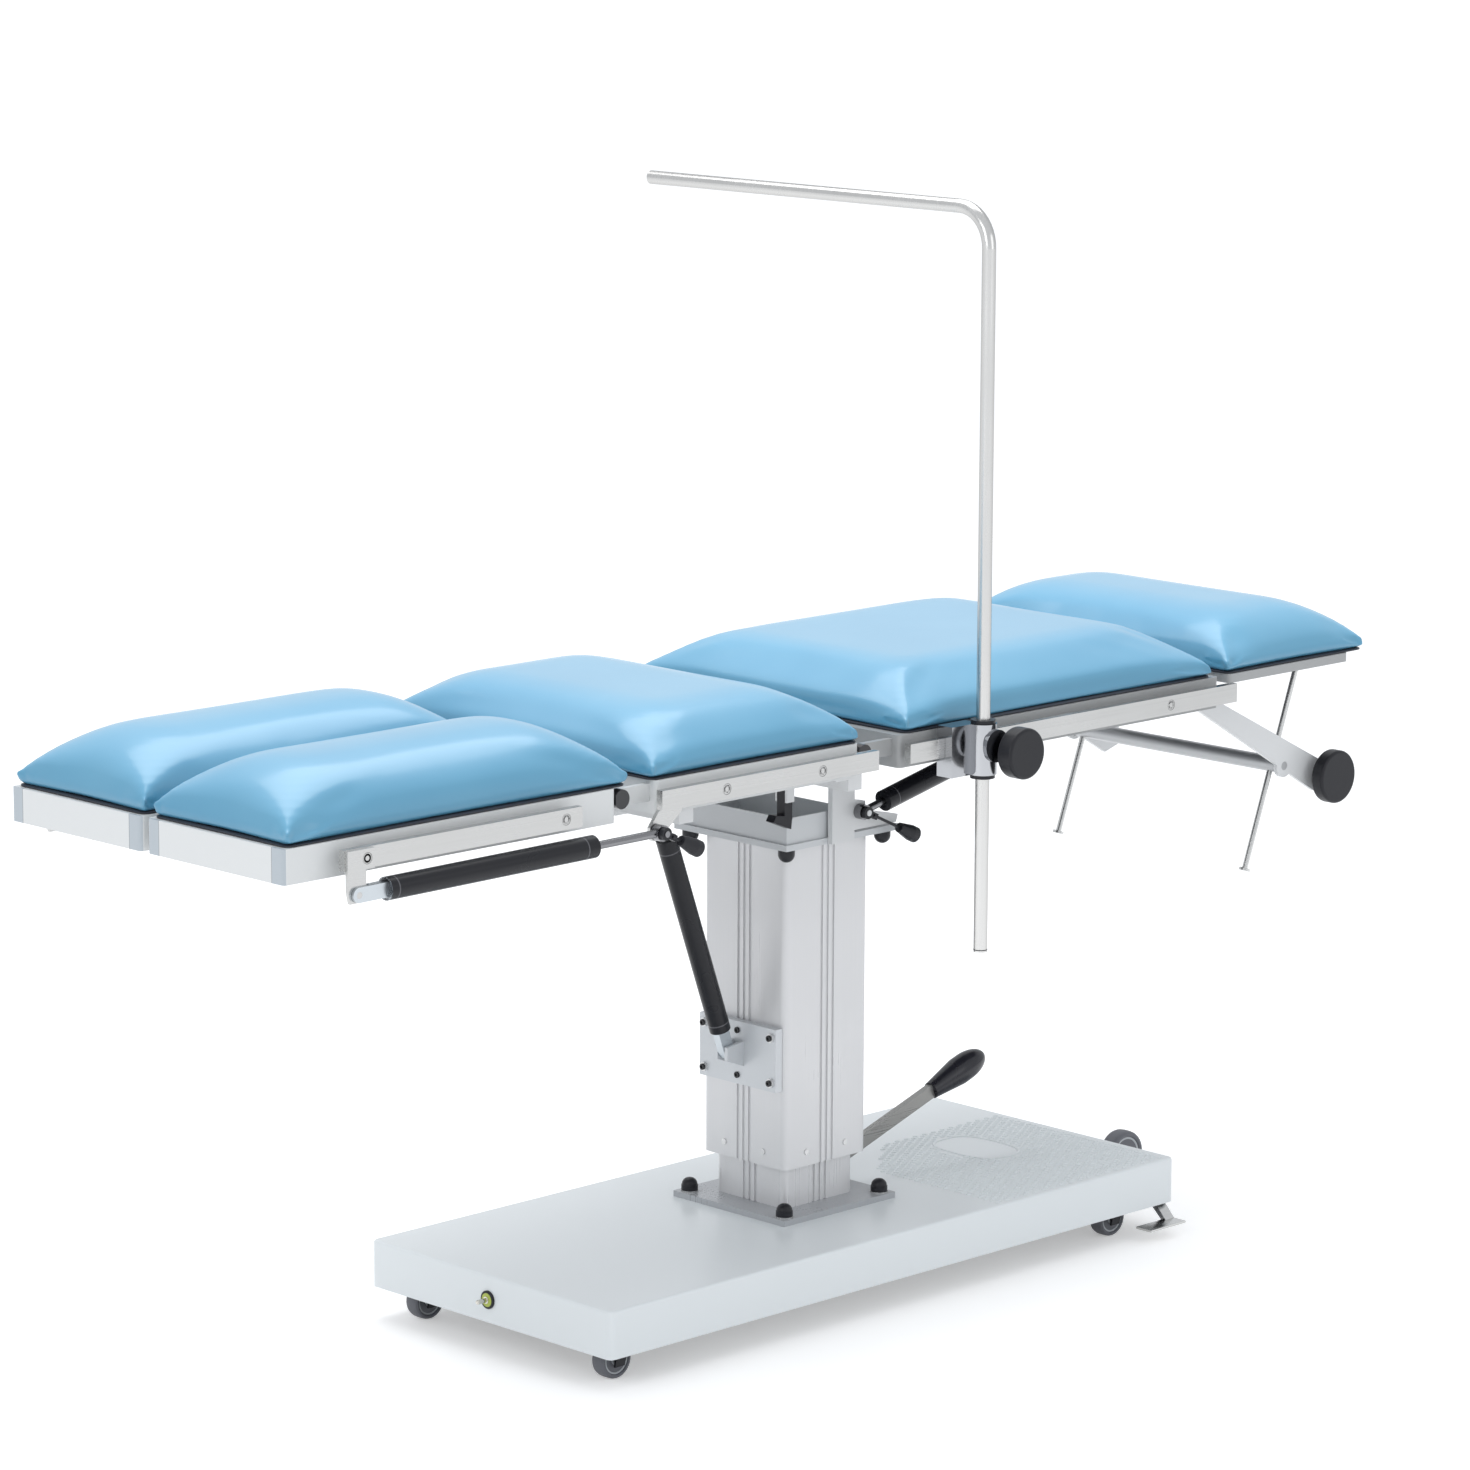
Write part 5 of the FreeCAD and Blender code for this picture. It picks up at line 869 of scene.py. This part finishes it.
def with_painted_edge_reflection(made, edge):
    """Paints a dark reflection into a metal's colour, deepening towards grazing angles, as mirror-bright
    steel looks in a white room.
    """
    tree = made.node_tree
    shader = tree.nodes["Principled BSDF"]
    facing = add(tree, "ShaderNodeLayerWeight", Blend=0.45)
    rim = add(tree, "ShaderNodeMath", operation="POWER")
    rim.inputs[1].default_value = 1.6
    edge_reflection_shade = add(tree, "ShaderNodeMix", data_type="RGBA", blend_type="MULTIPLY")
    edge_reflection_shade.inputs[7].default_value = (*edge, 1)
    bright = shader.inputs["Base Color"].links[0].from_socket
    wire(tree, (facing.outputs["Facing"], rim.inputs[0]), (rim.outputs[0], edge_reflection_shade.inputs[0]),
         (bright, edge_reflection_shade.inputs[6]), (edge_reflection_shade.outputs[2], shader.inputs["Base Color"]))
    return made


# The chrome clamp carries a painted dark reflection towards its edges.
chrome = with_painted_edge_reflection(finish_of("Chrome", (0.42, 0.43, 0.45), (0.60, 0.61, 0.63), 0.10, metallic=1.0, bump=0.002),
                  (0.10, 0.10, 0.12))
dress(["clamp_body"], chrome, 0.0012)
dress(["clamp_knob"], black_moulding, 0.0016)
dress(["clamp_sleeve"], black_moulding, 0.0008)
tube_steel = brushed_metal("Screen tube", (0.56, 0.555, 0.545), (0.76, 0.755, 0.74), 0.22, "z", amount=0.4)
# The screen tube carries a painted dark reflection towards its edges.
dress(["screen_frame"], with_painted_edge_reflection(tube_steel, (0.30, 0.29, 0.28)), 0.0)

# A black plug closes the tube's lower end.
low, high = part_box("screen_frame")
tube_radius = (high.x - low.x) / 2
turned("screen_pole_plug", ((low.x + high.x) / 2, low.y + tube_radius, low.z), (0, 0, 1),
       [(0.0, 0.0), (0.0, tube_radius * 0.86), (0.0030, tube_radius * 1.04), (0.0036, tube_radius * 1.04),
        (0.0036, tube_radius * 0.9)], "screen", black_moulding, 40)


# Studio. A seamless pale floor, soft overhead and side light, and the camera of the photograph.

floor_mesh = bmesh.new()
floor_half, floor_glow = 60, 0.34
bmesh.ops.create_grid(floor_mesh, x_segments=8, y_segments=8, size=floor_half)
floor_data = bpy.data.meshes.new("Floor")
floor_mesh.to_mesh(floor_data)
floor_mesh.free()
floor = bpy.data.objects.new("Floor", floor_data)
scene.collection.objects.link(floor)
paper = finish_of("Floor paper", (0.88, 0.88, 0.88), (0.92, 0.92, 0.92), 0.9, strength=0.1, bump=0.0)
tree = paper.node_tree
shader = tree.nodes["Principled BSDF"]
shader.inputs["Emission Color"].default_value = (1, 1, 1, 1)

# The floor is lifted to white for the camera and in reflections alone, so it still takes the table's shadow.
seen = add(tree, "ShaderNodeLightPath")
either = add(tree, "ShaderNodeMath", operation="MAXIMUM")
glow = add(tree, "ShaderNodeMath", operation="MULTIPLY")
glow.inputs[1].default_value = floor_glow
wire(tree, (seen.outputs["Is Camera Ray"], either.inputs[0]),
     (seen.outputs["Is Glossy Ray"], either.inputs[1]), (either.outputs[0], glow.inputs[0]),
     (glow.outputs[0], shader.inputs["Emission Strength"]))
floor_data.materials.append(paper)

world = bpy.data.worlds.new("Studio white")
scene.world = world
world.use_nodes = True
tree = world.node_tree
shown = tree.nodes["Background"]
shown.inputs["Color"].default_value = (1, 1, 1, 1)
shown.inputs["Strength"].default_value = 1.0
lit = add(tree, "ShaderNodeBackground", Color=(0.94, 0.965, 1.0, 1), Strength=0.85)
path = add(tree, "ShaderNodeLightPath")
choice = add(tree, "ShaderNodeMixShader")
wire(tree, (path.outputs["Is Camera Ray"], choice.inputs[0]), (lit.outputs[0], choice.inputs[1]),
     (shown.outputs[0], choice.inputs[2]), (choice.outputs[0], tree.nodes["World Output"].inputs["Surface"]))


def softbox(name, place, towards, size, power):
    """A rectangular area light, its size in metres and its power in watts."""
    data = bpy.data.lights.new(name, "AREA")
    data.shape = "RECTANGLE"
    data.size, data.size_y = size
    data.energy = power
    lamp = bpy.data.objects.new(name, data)
    scene.collection.objects.link(lamp)
    lamp.location = place
    lamp.rotation_euler = (Vector(towards) - Vector(place)).to_track_quat("-Z", "Y").to_euler()
    return lamp


lamps = [softbox("Overhead softbox", (0.3, 0.8, 3.6), (0, 0, 0.6), (3.2, 2.4), 54),
         softbox("Foot end softbox", (-3.6, -0.6, 2.2), (-0.2, 0, 0.6), (1.8, 1.8), 17),
         softbox("Near side softbox", (0.8, -3.6, 2.0), (0.1, 0, 0.5), (2.2, 1.6), 9)]

# The camera looks towards the head end and the far side, tipped down, from a little above the cushions.
yaw, pitch, roll = (math.radians(angle) for angle in (44.54, 10.79, 0.23))
eye_x, eye_y, eye_z = -4.9141, -4.8973, 2.0476
ahead = Vector((math.sin(yaw) * math.cos(pitch), math.cos(yaw) * math.cos(pitch), -math.sin(pitch)))
across = Vector((math.cos(yaw), -math.sin(yaw), 0))
upward = across.cross(ahead)
across, upward = (across * math.cos(roll) + upward * math.sin(roll),
                  upward * math.cos(roll) - across * math.sin(roll))
lens = bpy.data.cameras.new("Photograph camera")
lens.lens, lens.sensor_width = 132.90, 36
camera = bpy.data.objects.new("Photograph camera", lens)
scene.collection.objects.link(camera)
camera.matrix_world = Matrix(((across.x, upward.x, -ahead.x, eye_x), (across.y, upward.y, -ahead.y, eye_y),
                              (across.z, upward.z, -ahead.z, eye_z), (0, 0, 0, 1)))
scene.camera = camera
